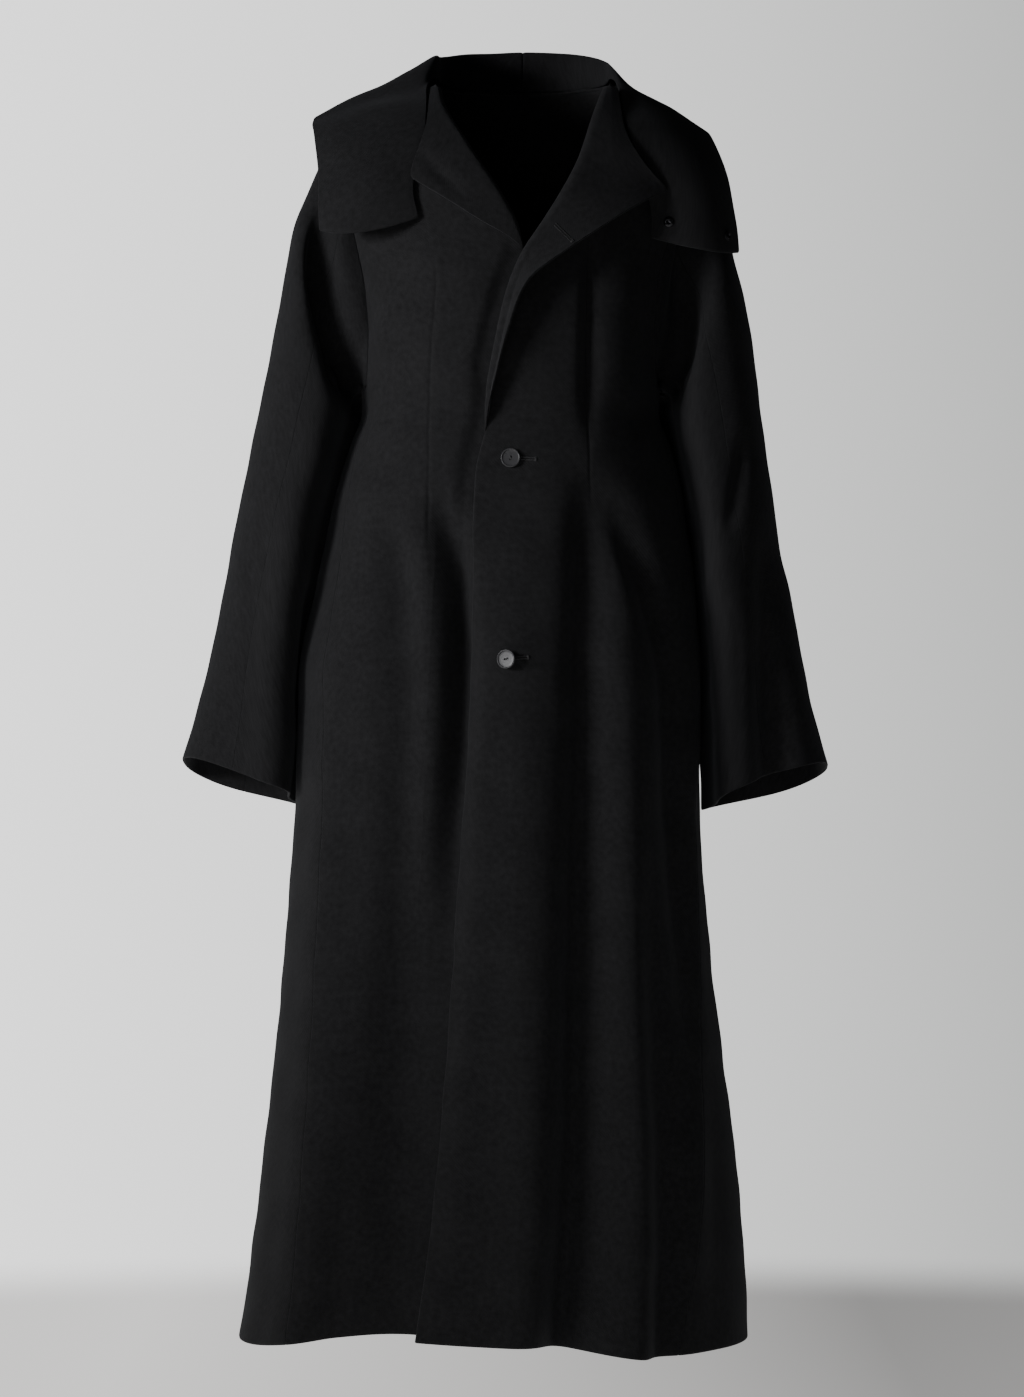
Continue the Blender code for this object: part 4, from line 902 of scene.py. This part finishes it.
def build_lapel(panel, normals, column, beside, rows, lapel, roll):
    """Upper and under grids of a lapel: it turns out of the front's edge and lies back over the chest."""
    edge = panel[rows, column]
    up = normals[rows, column]
    away = edge - panel[rows, beside]
    away = unit(away - up * np.sum(away * up, axis=-1, keepdims=True))
    z = edge[:, 2]
    radius = smooth(roll["z"], roll["radius"], z)[:, None]
    start = edge + away * SEAM
    under = []
    upper = []
    for turn in np.linspace(0, math.pi, LAPEL_ROLL_COLUMNS):
        sine = math.sin(turn)
        cosine = math.cos(turn)
        under.append(start + away * radius * sine + up * radius * (1 - cosine))
        upper.append(start + away * (radius + WALL) * sine + up * (radius - (radius + WALL) * cosine))
    edge_x, edge_z, lift = (smooth(lapel["z"], lapel[name], z) for name in ("edge_x", "edge_z", "lift"))
    root = under[-1]
    root_lift = -root[:, 1] - front_depth(root[:, 0], root[:, 2])
    edge_y = -front_depth(edge_x, edge_z) - lift
    shares = np.linspace(0, 1, LAPEL_COLUMNS + 1)[1:]
    shares = np.concatenate([shares[:-1], [1 - LAPEL_SUPPORT / LAPEL_COLUMNS, 1.0]])
    for share in shares:
        x = root[:, 0] + (edge_x - root[:, 0]) * share
        level = root[:, 2] + (edge_z - root[:, 2]) * share
        height = root_lift + (lift - root_lift) * share
        curved = -front_depth(x, level) - height
        straight = root[:, 1] + (edge_y - root[:, 1]) * share
        under.append(np.stack([x, curved + (straight - curved) * LAPEL_FLAT, level], axis=-1))
    under = np.stack(under, axis=1)
    facing = grid_normals(under)
    facing *= np.where(facing[..., 1:2] > 0, -1.0, 1.0)
    # Beside the roll the wall goes the roll's way, so that narrow rows don't fold.
    settled = np.linalg.norm(under - root[:, None], axis=-1, keepdims=True) / LAPEL_SETTLE
    settled = np.minimum(settled, 1.0)
    facing = unit(up[:, None] * (1 - settled) + facing * settled)
    flat = under[:, LAPEL_ROLL_COLUMNS:] + facing[:, LAPEL_ROLL_COLUMNS:] * WALL
    upper = np.concatenate([np.stack(upper, axis=1), flat], axis=1)
    # The lower end shrinks onto the front's edge, where the roll begins.
    whole = ease((z - z[0]) / LAPEL_TAPER + LAPEL_END)[:, None, None]
    line = (edge - up * WALL / 2)[:, None]
    return line + (upper - line) * whole, line + (under - line) * whole


def crease_offset(name, points, normals):
    """How far the creases and the cloth's unevenness move a piece's surface out."""
    offset = np.zeros(points.shape[:2])
    for x, y, z, length, height in zip(*RIPPLES.values()):
        way = unit(np.array([x, y, z]))
        drift = RIPPLE_DRIFT * points[..., 2] / length
        offset += height * np.sin(2 * math.pi * (points @ way) / length + drift)
    flat = points[..., [0, 2]]
    for piece, *rows in CREASES:
        if not name.startswith(piece):
            continue
        places = np.linspace(0, len(rows) - 1, CREASE_STEPS * (len(rows) - 1) + 1)
        dense = spline(np.array(rows), places)
        nearest = np.full(flat.shape[:2], np.inf)
        depth = np.zeros(flat.shape[:2])
        width = np.ones(flat.shape[:2])
        for here, there in zip(dense, dense[1:]):
            step = there[:2] - here[:2]
            share = np.clip(((flat - here[:2]) @ step) / (step @ step), 0, 1)
            away = np.linalg.norm(flat - here[:2] - share[..., None] * step, axis=-1)
            closer = away < nearest
            nearest = np.where(closer, away, nearest)
            depth = np.where(closer, here[2] + (there[2] - here[2]) * share, depth)
            width = np.where(closer, here[3] + (there[3] - here[3]) * share, width)
        toward = ease((CREASE_TURN - normals[..., 1]) / CREASE_TURN_RUN)
        offset -= depth * np.exp(-((nearest / width) ** 2)) * toward
    return offset


def closed_mesh(name, points, faces):
    """A smooth mesh with its faces turned out."""
    mesh = bpy.data.meshes.new(name)
    mesh.from_pydata(np.asarray(points).tolist(), [], faces)
    shape = bmesh.new()
    shape.from_mesh(mesh)
    bmesh.ops.recalc_face_normals(shape, faces=shape.faces)
    shape.to_mesh(mesh)
    shape.free()
    mesh.shade_smooth()
    return mesh


def wall_mesh(name, outer, inner):
    """A closed wall between two grids of points, with a rim round their edges and flat cloth coordinates."""
    rows, columns = outer.shape[:2]
    index = np.arange(2 * rows * columns).reshape(2, rows, columns)
    faces = []
    for layer in index:
        quads = [layer[:-1, :-1], layer[:-1, 1:], layer[1:, 1:], layer[1:, :-1]]
        faces += np.stack(quads, axis=-1).reshape(-1, 4).tolist()
    border = np.concatenate(
        [index[:, 0, :-1], index[:, :-1, -1], index[:, -1, :0:-1], index[:, :0:-1, 0]], axis=1
    )
    before = np.roll(border, 1, axis=1)
    faces += np.stack([before[0], border[0], border[1], before[1]], axis=-1).tolist()
    mesh = closed_mesh(name, np.concatenate([outer.reshape(-1, 3), inner.reshape(-1, 3)]), faces)
    # Flat coordinates in metres: along each row and up each column.
    across = grid_lengths(outer, 1)
    across -= across.mean(axis=1, keepdims=True)
    flat = np.stack([across, grid_lengths(outer, 0)], axis=-1).reshape(-1, 2)
    flat = np.concatenate([flat, flat])
    corners = np.zeros(len(mesh.loops), dtype=np.int32)
    mesh.loops.foreach_get("vertex_index", corners)
    layer = mesh.uv_layers.new(name="cloth")
    layer.data.foreach_set("uv", flat[corners].ravel())
    return mesh


def cut_size(grid):
    """Width, length and area of the flat piece that a grid was cut from."""
    widths = grid_lengths(grid, 1)
    lengths = grid_lengths(grid, 0)
    first = np.cross(grid[1:, :-1] - grid[:-1, :-1], grid[:-1, 1:] - grid[:-1, :-1])
    second = np.cross(grid[1:, :-1] - grid[1:, 1:], grid[:-1, 1:] - grid[1:, 1:])
    area = (np.linalg.norm(first, axis=-1).sum() + np.linalg.norm(second, axis=-1).sum()) / 2
    return float(widths.max()), float(lengths.max()), float(area)


def add_object(mesh, material):
    item = bpy.data.objects.new(mesh.name, mesh)
    item.data.materials.append(material)
    bpy.context.scene.collection.objects.link(item)
    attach(item, "root")
    return item


def add_cloth(node, outer, inner, fill=None):
    """One cloth shell that stands for a node and hides it; the size of its cut, a curved cut's from a fill
    of its box, is worked out but not used.
    """
    item = add_object(wall_mesh(node + "_cloth", outer, inner), wool)
    finer = item.modifiers.new("finer", "SUBSURF")
    finer.levels = 1
    finer.render_levels = 1
    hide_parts(node)
    width, length, area = cut_size(outer)
    if fill:
        length = area / width / fill
    return item


def meet(outer, inner, edge, beside, reach):
    """Move one edge of a wall out into its seam, away from the row or column beside it."""
    step = unit(outer[edge] - outer[beside]) * reach
    outer[edge] += step
    inner[edge] += step


def shade(name):
    """A new material, its node tree and its surface shader."""
    material = bpy.data.materials.new(name)
    material.use_nodes = True
    return material, material.node_tree, material.node_tree.nodes["Principled BSDF"]


def put(tree, node, inputs):
    """Set a node's inputs, by name or number, to values or to other nodes' outputs."""
    for key, value in inputs.items():
        if isinstance(value, bpy.types.NodeSocket):
            tree.links.new(value, node.inputs[key])
        else:
            node.inputs[key].default_value = value


def add_node(tree, kind, inputs=None, **settings):
    """A new shader node with its settings and inputs."""
    node = tree.nodes.new(kind)
    for name, value in settings.items():
        setattr(node, name, value)
    put(tree, node, inputs or {})
    return node


def noise(tree, place, scale, detail, roughness=0.5):
    """Unevenness from 0 to 1."""
    inputs = {"Vector": place, "Scale": scale, "Detail": detail, "Roughness": roughness}
    return add_node(tree, "ShaderNodeTexNoise", inputs).outputs["Fac"]


def bump(tree, height, strength, distance, below=None):
    """Facing of a surface made uneven by a height, on top of the one below."""
    inputs = {"Height": height, "Strength": strength, "Distance": distance}
    if below:
        inputs["Normal"] = below
    return add_node(tree, "ShaderNodeBump", inputs).outputs["Normal"]


def ramp(tree, share, low, high, low_at=0.0, high_at=1.0):
    """Colour between two, by a share."""
    node = add_node(tree, "ShaderNodeValToRGB", {"Fac": share})
    first, second = node.color_ramp.elements
    first.position = low_at
    first.color = low
    second.position = high_at
    second.color = high
    return node.outputs["Color"]


def rescale(tree, value, start, end, low=0.0, high=1.0, **settings):
    """A value between start and end brought between low and high."""
    inputs = {"Value": value, "From Min": start, "From Max": end, "To Min": low, "To Max": high}
    return add_node(tree, "ShaderNodeMapRange", inputs, **settings).outputs["Result"]


def wool_material():
    """Black milled wool: a faint twill under a short nap, with a soft sheen."""
    material, tree, shader = shade("black_wool")
    place = add_node(tree, "ShaderNodeTexCoord").outputs["UV"]
    nap = noise(tree, place, 900.0, 4.0, 0.65)
    cloud = noise(tree, place, 30.0, 3.0)
    mottle = noise(tree, place, 170.0, 2.0)
    bands = {"Vector": place, "Scale": 190.0, "Distortion": 2.5, "Detail": 2.0}
    twill = add_node(tree, "ShaderNodeTexWave", bands, wave_type="BANDS", bands_direction="DIAGONAL")
    total = 0.0
    for texture, weight in ((nap, 0.30), (mottle, 0.48), (cloud, 0.22)):
        sums = {0: texture, 1: weight, 2: total}
        total = add_node(tree, "ShaderNodeMath", sums, operation="MULTIPLY_ADD").outputs["Value"]
    dark = (0.0036, 0.0037, 0.0041, 1)
    light = (0.0134, 0.0135, 0.0146, 1)
    looks = {
        "Base Color": ramp(tree, total, dark, light, 0.33, 0.67),
        "Roughness": 0.92,
        "Specular IOR Level": 0.25,
        "Sheen Weight": 0.06,
        "Sheen Roughness": 0.5,
        "Sheen Tint": (0.55, 0.57, 0.62, 1),
        "Normal": bump(tree, nap, 0.35, 0.0004, bump(tree, twill.outputs["Fac"], 0.25, 0.0003)),
    }
    put(tree, shader, looks)
    return material


def speckled(name, low, high, scale, roughness, metallic=0.0):
    """A finish whose colour and surface are finely uneven."""
    material, tree, shader = shade(name)
    grain = noise(tree, add_node(tree, "ShaderNodeTexCoord").outputs["Object"], scale, 4.0)
    colour = ramp(tree, grain, low, high, 0.30, 0.70)
    looks = {"Base Color": colour, "Roughness": roughness, "Metallic": metallic}
    put(tree, shader, {**looks, "Normal": bump(tree, grain, 0.12, 0.0002)})
    return material


def turned_mesh(name, profile, radius, height):
    """A mesh turned about its own Z from a profile that starts and ends on the axis."""
    turns = np.linspace(0, 2 * math.pi, ROUND_STEPS, endpoint=False)
    ring = np.stack([np.cos(turns) * radius, np.sin(turns) * radius, np.full(ROUND_STEPS, height)], axis=-1)
    body = np.concatenate([ring * (reach, reach, level) for reach, level in profile[1:-1]])
    ends = [(0, 0, profile[0][1] * height), (0, 0, profile[-1][1] * height)]
    index = np.arange(len(body)).reshape(-1, ROUND_STEPS)
    after = np.roll(index, -1, axis=1)
    faces = np.stack([index[:-1], index[1:], after[1:], after[:-1]], axis=-1).reshape(-1, 4).tolist()
    faces += [[len(body), here, beside] for here, beside in zip(index[0].tolist(), after[0].tolist())]
    faces += [[len(body) + 1, beside, here] for here, beside in zip(index[-1].tolist(), after[-1].tolist())]
    return closed_mesh(name, np.concatenate([body, ends]), faces)


def thread_mesh(name, paths, radius):
    """Thin round threads, one along each path, with closed ends."""
    turns = np.linspace(0, 2 * math.pi, THREAD_SIDES, endpoint=False)[:, None]
    points = []
    faces = []
    count = 0
    for path in paths:
        along = unit(np.gradient(path, axis=0))
        side = unit(np.cross(along, THREAD_ASIDE))
        up = np.cross(along, side)
        girth = np.full(len(path), radius)
        girth[[0, -1]] *= THREAD_END
        ring = side[:, None] * np.cos(turns) + up[:, None] * np.sin(turns)
        points.append((path[:, None] + ring * girth[:, None, None]).reshape(-1, 3))
        index = count + np.arange(len(path) * THREAD_SIDES).reshape(-1, THREAD_SIDES)
        after = np.roll(index, -1, axis=1)
        faces += np.stack([index[:-1], after[:-1], after[1:], index[1:]], axis=-1).reshape(-1, 4).tolist()
        faces += [index[0].tolist(), index[-1].tolist()]
        count += index.size
    return closed_mesh(name, np.concatenate(points), faces)


def place_on(item, point, normal, gap, spin=0.0):
    """Set a piece on a surface with its Z along the surface's normal."""
    side = unit(np.cross([0, 0, 1.0], normal))
    across = side * math.cos(spin) + np.cross(normal, side) * math.sin(spin)
    seat_frame = np.eye(4)
    seat_frame[:3, 0] = across
    seat_frame[:3, 1] = np.cross(normal, across)
    seat_frame[:3, 2] = normal
    seat_frame[:3, 3] = point + gap * normal
    item.matrix_world = Matrix(seat_frame.tolist())


def surface(item):
    """A search tree of a piece's finished surface."""
    return BVHTree.FromObject(item, bpy.context.evaluated_depsgraph_get())


def seat(tree, x, z):
    """The point of a surface that shows from the front at x and z, and its facing."""
    point, facing, _, _ = tree.ray_cast(Vector((x, -1.0, z)), Vector((0, 1, 0)))
    facing = np.array(facing)
    return np.array(point), facing if facing[1] < 0 else -facing


def drill(item, radius, offset, depth):
    """Cut two sewing holes through a button, either side of its middle."""
    cutters = []
    for way in (-1, 1):
        mesh = bpy.data.meshes.new("drill")
        shape = bmesh.new()
        bmesh.ops.create_cone(
            shape, cap_ends=True, segments=ROUND_STEPS // 2, radius1=radius, radius2=radius, depth=depth
        )
        bmesh.ops.translate(shape, verts=shape.verts, vec=(way * offset, 0, 0))
        shape.to_mesh(mesh)
        shape.free()
        cutter = bpy.data.objects.new("drill", mesh)
        bpy.context.scene.collection.objects.link(cutter)
        cutter.matrix_world = item.matrix_world.copy()
        cut = item.modifiers.new("hole", "BOOLEAN")
        cut.operation = "DIFFERENCE"
        cut.object = cutter
        cutters.append(cutter)
    shaped = item.evaluated_get(bpy.context.evaluated_depsgraph_get())
    item.data = bpy.data.meshes.new_from_object(shaped)
    item.data.set_sharp_from_angle(angle=math.radians(SHARP_ANGLE))
    item.modifiers.clear()
    for cutter in cutters:
        bpy.data.objects.remove(cutter, do_unlink=True)


def add_button(name, tree, place):
    """A button with a raised rim and two holes, and the thread that crosses between them."""
    turn, z, hole_turn, lean, gap = place
    spot = body_points(np.array(turn), np.array(z))
    point, facing = seat(tree, spot[0], spot[2])
    facing = np.array(Matrix.Rotation(math.radians(lean), 3, "Z") @ Vector(facing))
    item = add_object(turned_mesh(name + "_fine", BUTTON_PROFILE, BUTTON_RADIUS, BUTTON_HEIGHT), resin)
    place_on(item, point, facing, gap, math.radians(hole_turn))
    drill(item, BUTTON_HOLE, BUTTON_HOLE_OFFSET, DRILL_LENGTH)
    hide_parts(name)
    share = np.linspace(-1, 1, STRAND_POINTS)
    rise = (STRAND_RISE + STRAND_DIP) * (1 - share**STRAND_POWER)
    level = BUTTON_HEIGHT * BUTTON_PROFILE[0][1] - STRAND_DIP + rise
    across = share * BUTTON_HOLE_OFFSET
    paths = [np.stack([across, np.full(STRAND_POINTS, y), level], axis=-1) for y in STRANDS]
    sewn = add_object(thread_mesh(name + "_thread", paths, THREAD_RADIUS), thread)
    sewn.matrix_world = item.matrix_world.copy()


def add_snap(name, tree, station, share):
    """A snap socket: a ring round a polished bowl."""
    spot = hood_points(net, [station], [share])[0, 0]
    point, facing = seat(tree, spot[0], spot[2])
    item = add_object(turned_mesh(name + "_fine", SNAP_PROFILE, SNAP_RADIUS, SNAP_HEIGHT), metal)
    place_on(item, point, facing, SNAP_GAP)
    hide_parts(name)


def add_buttonhole(name, tree, start, end):
    """A slit of painted shade, a near-black strip along the cut, with a row of stitches along each side and
    a bar across its far end.
    """
    start = np.array(start)
    end = np.array(end)
    count = int(np.linalg.norm(end - start) / STITCH_PITCH) + 1
    line = [seat(tree, x, z) for x, z in start + (end - start) * np.linspace(0, 1, count)[:, None]]
    base = np.array([point for point, _ in line])
    facing = np.array([face for _, face in line])
    along = unit(np.gradient(base, axis=0))
    across = unit(np.cross(facing, along))
    arc = np.linspace(0, 1, STITCH_POINTS)
    rise = STITCH_RISE * np.sin(math.pi * arc)[:, None]
    paths = []
    for k in range(count):
        for way in (-1, 1):
            far = STITCH_FAR + STITCH_UNEVEN * math.sin(STITCH_VARY * k * k + way)
            reach = way * (STITCH_NEAR + (far - STITCH_NEAR) * arc)[:, None]
            paths.append(base[k] + across[k] * reach + facing[k] * rise)
    for k in range(BAR_STITCHES):
        middle = base[-1] + along[-1] * STITCH_PITCH * k / 2
        paths.append(middle + across[-1] * BAR_REACH * (2 * arc - 1)[:, None] + facing[-1] * BAR_RISE * rise)
    item = add_object(thread_mesh(name, paths, THREAD_RADIUS), thread)
    # The slit is a near-black strip that paints the shade inside the cut.
    slit = add_object(thread_mesh(name + "_slit_painted_shade", [base], SLIT_RADIUS), painted_shade_for_slits)


wool = wool_material()
resin = speckled("button_resin", (0.030, 0.030, 0.032, 1), (0.042, 0.042, 0.045, 1), 900.0, 0.42)
metal = speckled("snap_metal", (0.026, 0.026, 0.028, 1), (0.045, 0.045, 0.048, 1), 1500.0, 0.18, 1.0)
thread = speckled("grey_thread", (0.016, 0.016, 0.017, 1), (0.034, 0.034, 0.036, 1), 2500.0, 0.7)
# Near-black painted shade for the buttonholes' slits.
painted_shade_for_slits = speckled("slit_shade", (0.0015, 0.0015, 0.0016, 1), (0.003, 0.003, 0.0032, 1), 2500.0, 0.95)

# Body panels
cloth = {}
panels = {}
normals = {}
for panel in PANEL_ENDS:
    grid, low_rows, dart_column = panel_grid(panel)
    panels[panel] = grid
    normals[panel] = grid_normals(grid)
    moved = crease_offset(panel, grid, normals[panel])
    if dart_column is not None:
        line = DART_LINE[panel]
        moved[:, dart_column] -= smooth(line["z"], line["depth"], grid[:, dart_column, 2])
    outer = grid + normals[panel] * moved[..., None]
    inner = outer - normals[panel] * WALL
    rows = slice(None)
    if panel != "front_left":
        meet(outer, inner, (rows, 0), (rows, 1), SEAM_MEET)
    if panel != "front_right":
        meet(outer, inner, (rows, -1), (rows, -2), SEAM_MEET)
    meet(outer, inner, (-1, rows), (-2, rows), SEAM_MEET)
    above = slice(low_rows, None)
    if panel in ("front_left", "back_right"):
        meet(outer, inner, (above, -1), (above, -2), ARMHOLE_MEET)
    if panel in ("front_right", "back_left"):
        meet(outer, inner, (above, 0), (above, 1), ARMHOLE_MEET)
    cloth[panel] = add_cloth(panel, outer, inner)

# Sleeves
for side in ("left", "right"):
    grid, back_seam = sleeve_grid(side)
    hand = 1.0 if side == "left" else -1.0
    grid = np.concatenate([grid, grid[:, :1]], axis=1)
    ring_normals = grid_normals(grid[:, :-1], closed=True) * hand
    ring_normals = np.concatenate([ring_normals, ring_normals[:, :1]], axis=1)
    moved = crease_offset("sleeve_" + side, grid, ring_normals)
    moved *= ease(grid_lengths(grid, 0) / ARMHOLE_EASE)
    grid = grid + ring_normals * moved[..., None]
    for half, columns in (("inner", slice(0, back_seam + 1)), ("outer", slice(back_seam, None))):
        outer = grid[:, columns].copy()
        inner = outer - ring_normals[:, columns] * WALL
        rows = slice(None)
        meet(outer, inner, (rows, 0), (rows, 1), SEAM_MEET)
        meet(outer, inner, (rows, -1), (rows, -2), SEAM_MEET)
        meet(outer, inner, (0, rows), (1, rows), ARMHOLE_MEET)
        add_cloth(f"sleeve_{side}_{half}", outer, inner)

# Hood
net = build_hood()
stations = np.linspace(0, len(net) - 1, HOOD_STATIONS)
hood = hood_points(net, stations, np.linspace(0, 1, HOOD_COLUMNS))
hood_normals = grid_normals(hood)
if hood_normals[HOOD_STATIONS // 4, HOOD_COLUMNS // 2, 2] < 0:
    hood_normals = -hood_normals
hood = hood + hood_normals * crease_offset("hood", hood, hood_normals)[..., None]
middle = HOOD_STATIONS // 2
for side, rows, seam_row, beside in (
    ("right", slice(0, middle + 1), -1, -2),
    ("left", slice(middle, None), 0, 1),
):
    outer = hood[rows].copy()
    inner = outer - hood_normals[rows] * HOOD_WALL
    meet(outer, inner, (seam_row, slice(None)), (beside, slice(None)), SEAM_MEET)
    cloth["hood_" + side] = add_cloth("hood_" + side, outer, inner, HOOD_FILL)

# Lapels
for side, column, beside, lapel in (("left", 0, 1, LAPEL_LEFT), ("right", -1, -2, LAPEL_RIGHT)):
    front = panels["front_" + side]
    heights = front[:, column, 2]
    rows = np.flatnonzero((heights > lapel["z"][0]) & (heights < LAPEL_TOP))
    facing = normals["front_" + side]
    upper, under = build_lapel(front, facing, column, beside, rows, lapel, ROLL_RADIUS[side])
    forward = np.broadcast_to(np.array([0.0, -1.0, 0.0]), upper.shape)
    moved = forward * crease_offset("lapel_" + side, upper, forward)[..., None]
    cloth["lapel_" + side] = add_cloth("lapel_" + side, upper + moved, under + moved)

# Buttons, snaps and buttonholes, set on the finished cloth
front_tree = surface(cloth["front_left"])
hood_tree = surface(cloth["hood_left"])
for name, place in zip(("button_upper", "button_lower"), zip(*BUTTONS.values())):
    add_button(name, front_tree, place)
for name, station, share in zip(("snap_inner", "snap_outer"), *SNAPS.values()):
    add_snap(name, hood_tree, station, share)
for name, (piece, start, end) in BUTTONHOLES.items():
    add_buttonhole(name, surface(cloth[piece]), start, end)


# Floor and backdrop: the floor's size, where it fades, its glow of painted light from the picture's left to
# its right, brighter where the key light is, and how far to each side the backdrop's painted light falloff
# changes
FLOOR_Z = -1.450
FLOOR_RADIUS = 3.2
FLOOR_FADE_START = 2.3
FLOOR_FADE_END = 3.0
FLOOR_PAINTED_LIGHT_REACH = 0.5
FLOOR_PAINTED_LIGHT_LEFT = 1.00
FLOOR_PAINTED_LIGHT_RIGHT = 0.30
BACKDROP_SPREAD = 0.10


def floor_material():
    """Pale floor with painted light glowing brighter towards -X, the key light's side, that fades into the
    backdrop's colour away from the coat.
    """
    material, tree, shader = shade("pale_floor")
    place = add_node(tree, "ShaderNodeTexCoord").outputs["Object"]
    across = add_node(tree, "ShaderNodeSeparateXYZ", {"Vector": place}).outputs["X"]
    # Painted light: the floor glows brighter towards -X, as if lit there by the key light.
    painted_light_glow = rescale(tree, across, -FLOOR_PAINTED_LIGHT_REACH, FLOOR_PAINTED_LIGHT_REACH, FLOOR_PAINTED_LIGHT_LEFT, FLOOR_PAINTED_LIGHT_RIGHT)
    looks = {
        "Base Color": (0.72, 0.71, 0.69, 1),
        "Roughness": 0.9,
        "Emission Color": (1.0, 0.985, 0.97, 1),
        "Emission Strength": painted_light_glow,
    }
    put(tree, shader, looks)
    away = add_node(tree, "ShaderNodeVectorMath", {0: place}, operation="LENGTH").outputs["Value"]
    fade = rescale(tree, away, FLOOR_FADE_START, FLOOR_FADE_END, interpolation_type="SMOOTHSTEP")
    clear = add_node(tree, "ShaderNodeBsdfTransparent")
    both = {"Fac": fade, 1: shader.outputs["BSDF"], 2: clear.outputs["BSDF"]}
    mix = add_node(tree, "ShaderNodeMixShader", both)
    put(tree, tree.nodes["Material Output"], {"Surface": mix.outputs["Shader"]})
    return material


disc = bpy.data.meshes.new("floor")
shape = bmesh.new()
bmesh.ops.create_circle(shape, cap_ends=True, segments=FLOOR_STEPS, radius=FLOOR_RADIUS)
shape.to_mesh(disc)
shape.free()
floor = bpy.data.objects.new("floor", disc)
floor.location = (0, 0, FLOOR_Z)
disc.materials.append(floor_material())
bpy.context.scene.collection.objects.link(floor)

# The world that is seen is the backdrop, with painted light falloff, brighter towards -X than +X, and the
# one that lights the coat is dim
world = bpy.data.worlds.new("studio")
world.use_nodes = True
tree = world.node_tree
direction = add_node(tree, "ShaderNodeTexCoord").outputs["Generated"]
sideways = add_node(tree, "ShaderNodeSeparateXYZ", {"Vector": direction}).outputs["X"]
share = rescale(tree, sideways, -BACKDROP_SPREAD, BACKDROP_SPREAD)
# Painted light falloff on the backdrop: brighter towards -X, where the key light is, darker towards +X.
backdrop_painted_falloff = ramp(tree, share, (1.80, 1.80, 1.80, 1), (0.70, 0.71, 0.70, 1))
seen = tree.nodes["Background"]
put(tree, seen, {"Color": backdrop_painted_falloff, "Strength": 1.0})
ambient = add_node(tree, "ShaderNodeBackground", {"Color": (0.62, 0.63, 0.65, 1), "Strength": 0.055})
to_camera = add_node(tree, "ShaderNodeLightPath").outputs["Is Camera Ray"]
both = {"Fac": to_camera, 1: ambient.outputs["Background"], 2: seen.outputs["Background"]}
mix = add_node(tree, "ShaderNodeMixShader", both)
put(tree, tree.nodes["World Output"], {"Surface": mix.outputs["Shader"]})
bpy.context.scene.world = world


def area_light(name, location, target, size, power, colour, spread=180.0):
    """A soft rectangular light turned to a target, its spread in degrees."""
    lamp = bpy.data.lights.new(name, "AREA")
    lamp.shape = "RECTANGLE"
    lamp.size, lamp.size_y = size
    lamp.energy = power
    lamp.color = colour
    lamp.spread = math.radians(spread)
    item = bpy.data.objects.new(name, lamp)
    item.location = location
    item.rotation_euler = (Vector(target) - Vector(location)).to_track_quat("-Z", "Y").to_euler()
    bpy.context.scene.collection.objects.link(item)


area_light("key", (-2.10, -1.45, 0.05), (0, -0.05, -0.30), (0.9, 0.7), 4.7, (0.99, 0.985, 1.0), 46.0)
area_light("fill", (0.0, -4.6, 0.2), (0, 0, -0.6), (2.4, 2.4), 3.5, (0.97, 0.98, 1.0))
area_light("low", (-0.30, -3.4, -1.0), (0.02, 0, -0.95), (0.7, 0.7), 0.7, (0.98, 0.98, 1.0), 36.0)

# Camera straight in front, with the picture's height in metres at the coat's middle
CAMERA_X = 0.001
CAMERA_Z = -0.5985
CAMERA_DISTANCE = 5.5
PICTURE_HEIGHT = 1.397
SENSOR = 36.0
lens = bpy.data.cameras.new("camera")
lens.lens = SENSOR * CAMERA_DISTANCE / PICTURE_HEIGHT
camera = bpy.data.objects.new("camera", lens)
camera.location = (CAMERA_X, -CAMERA_DISTANCE, CAMERA_Z)
camera.rotation_euler = (math.pi / 2, 0, 0)
bpy.context.scene.collection.objects.link(camera)
bpy.context.scene.camera = camera
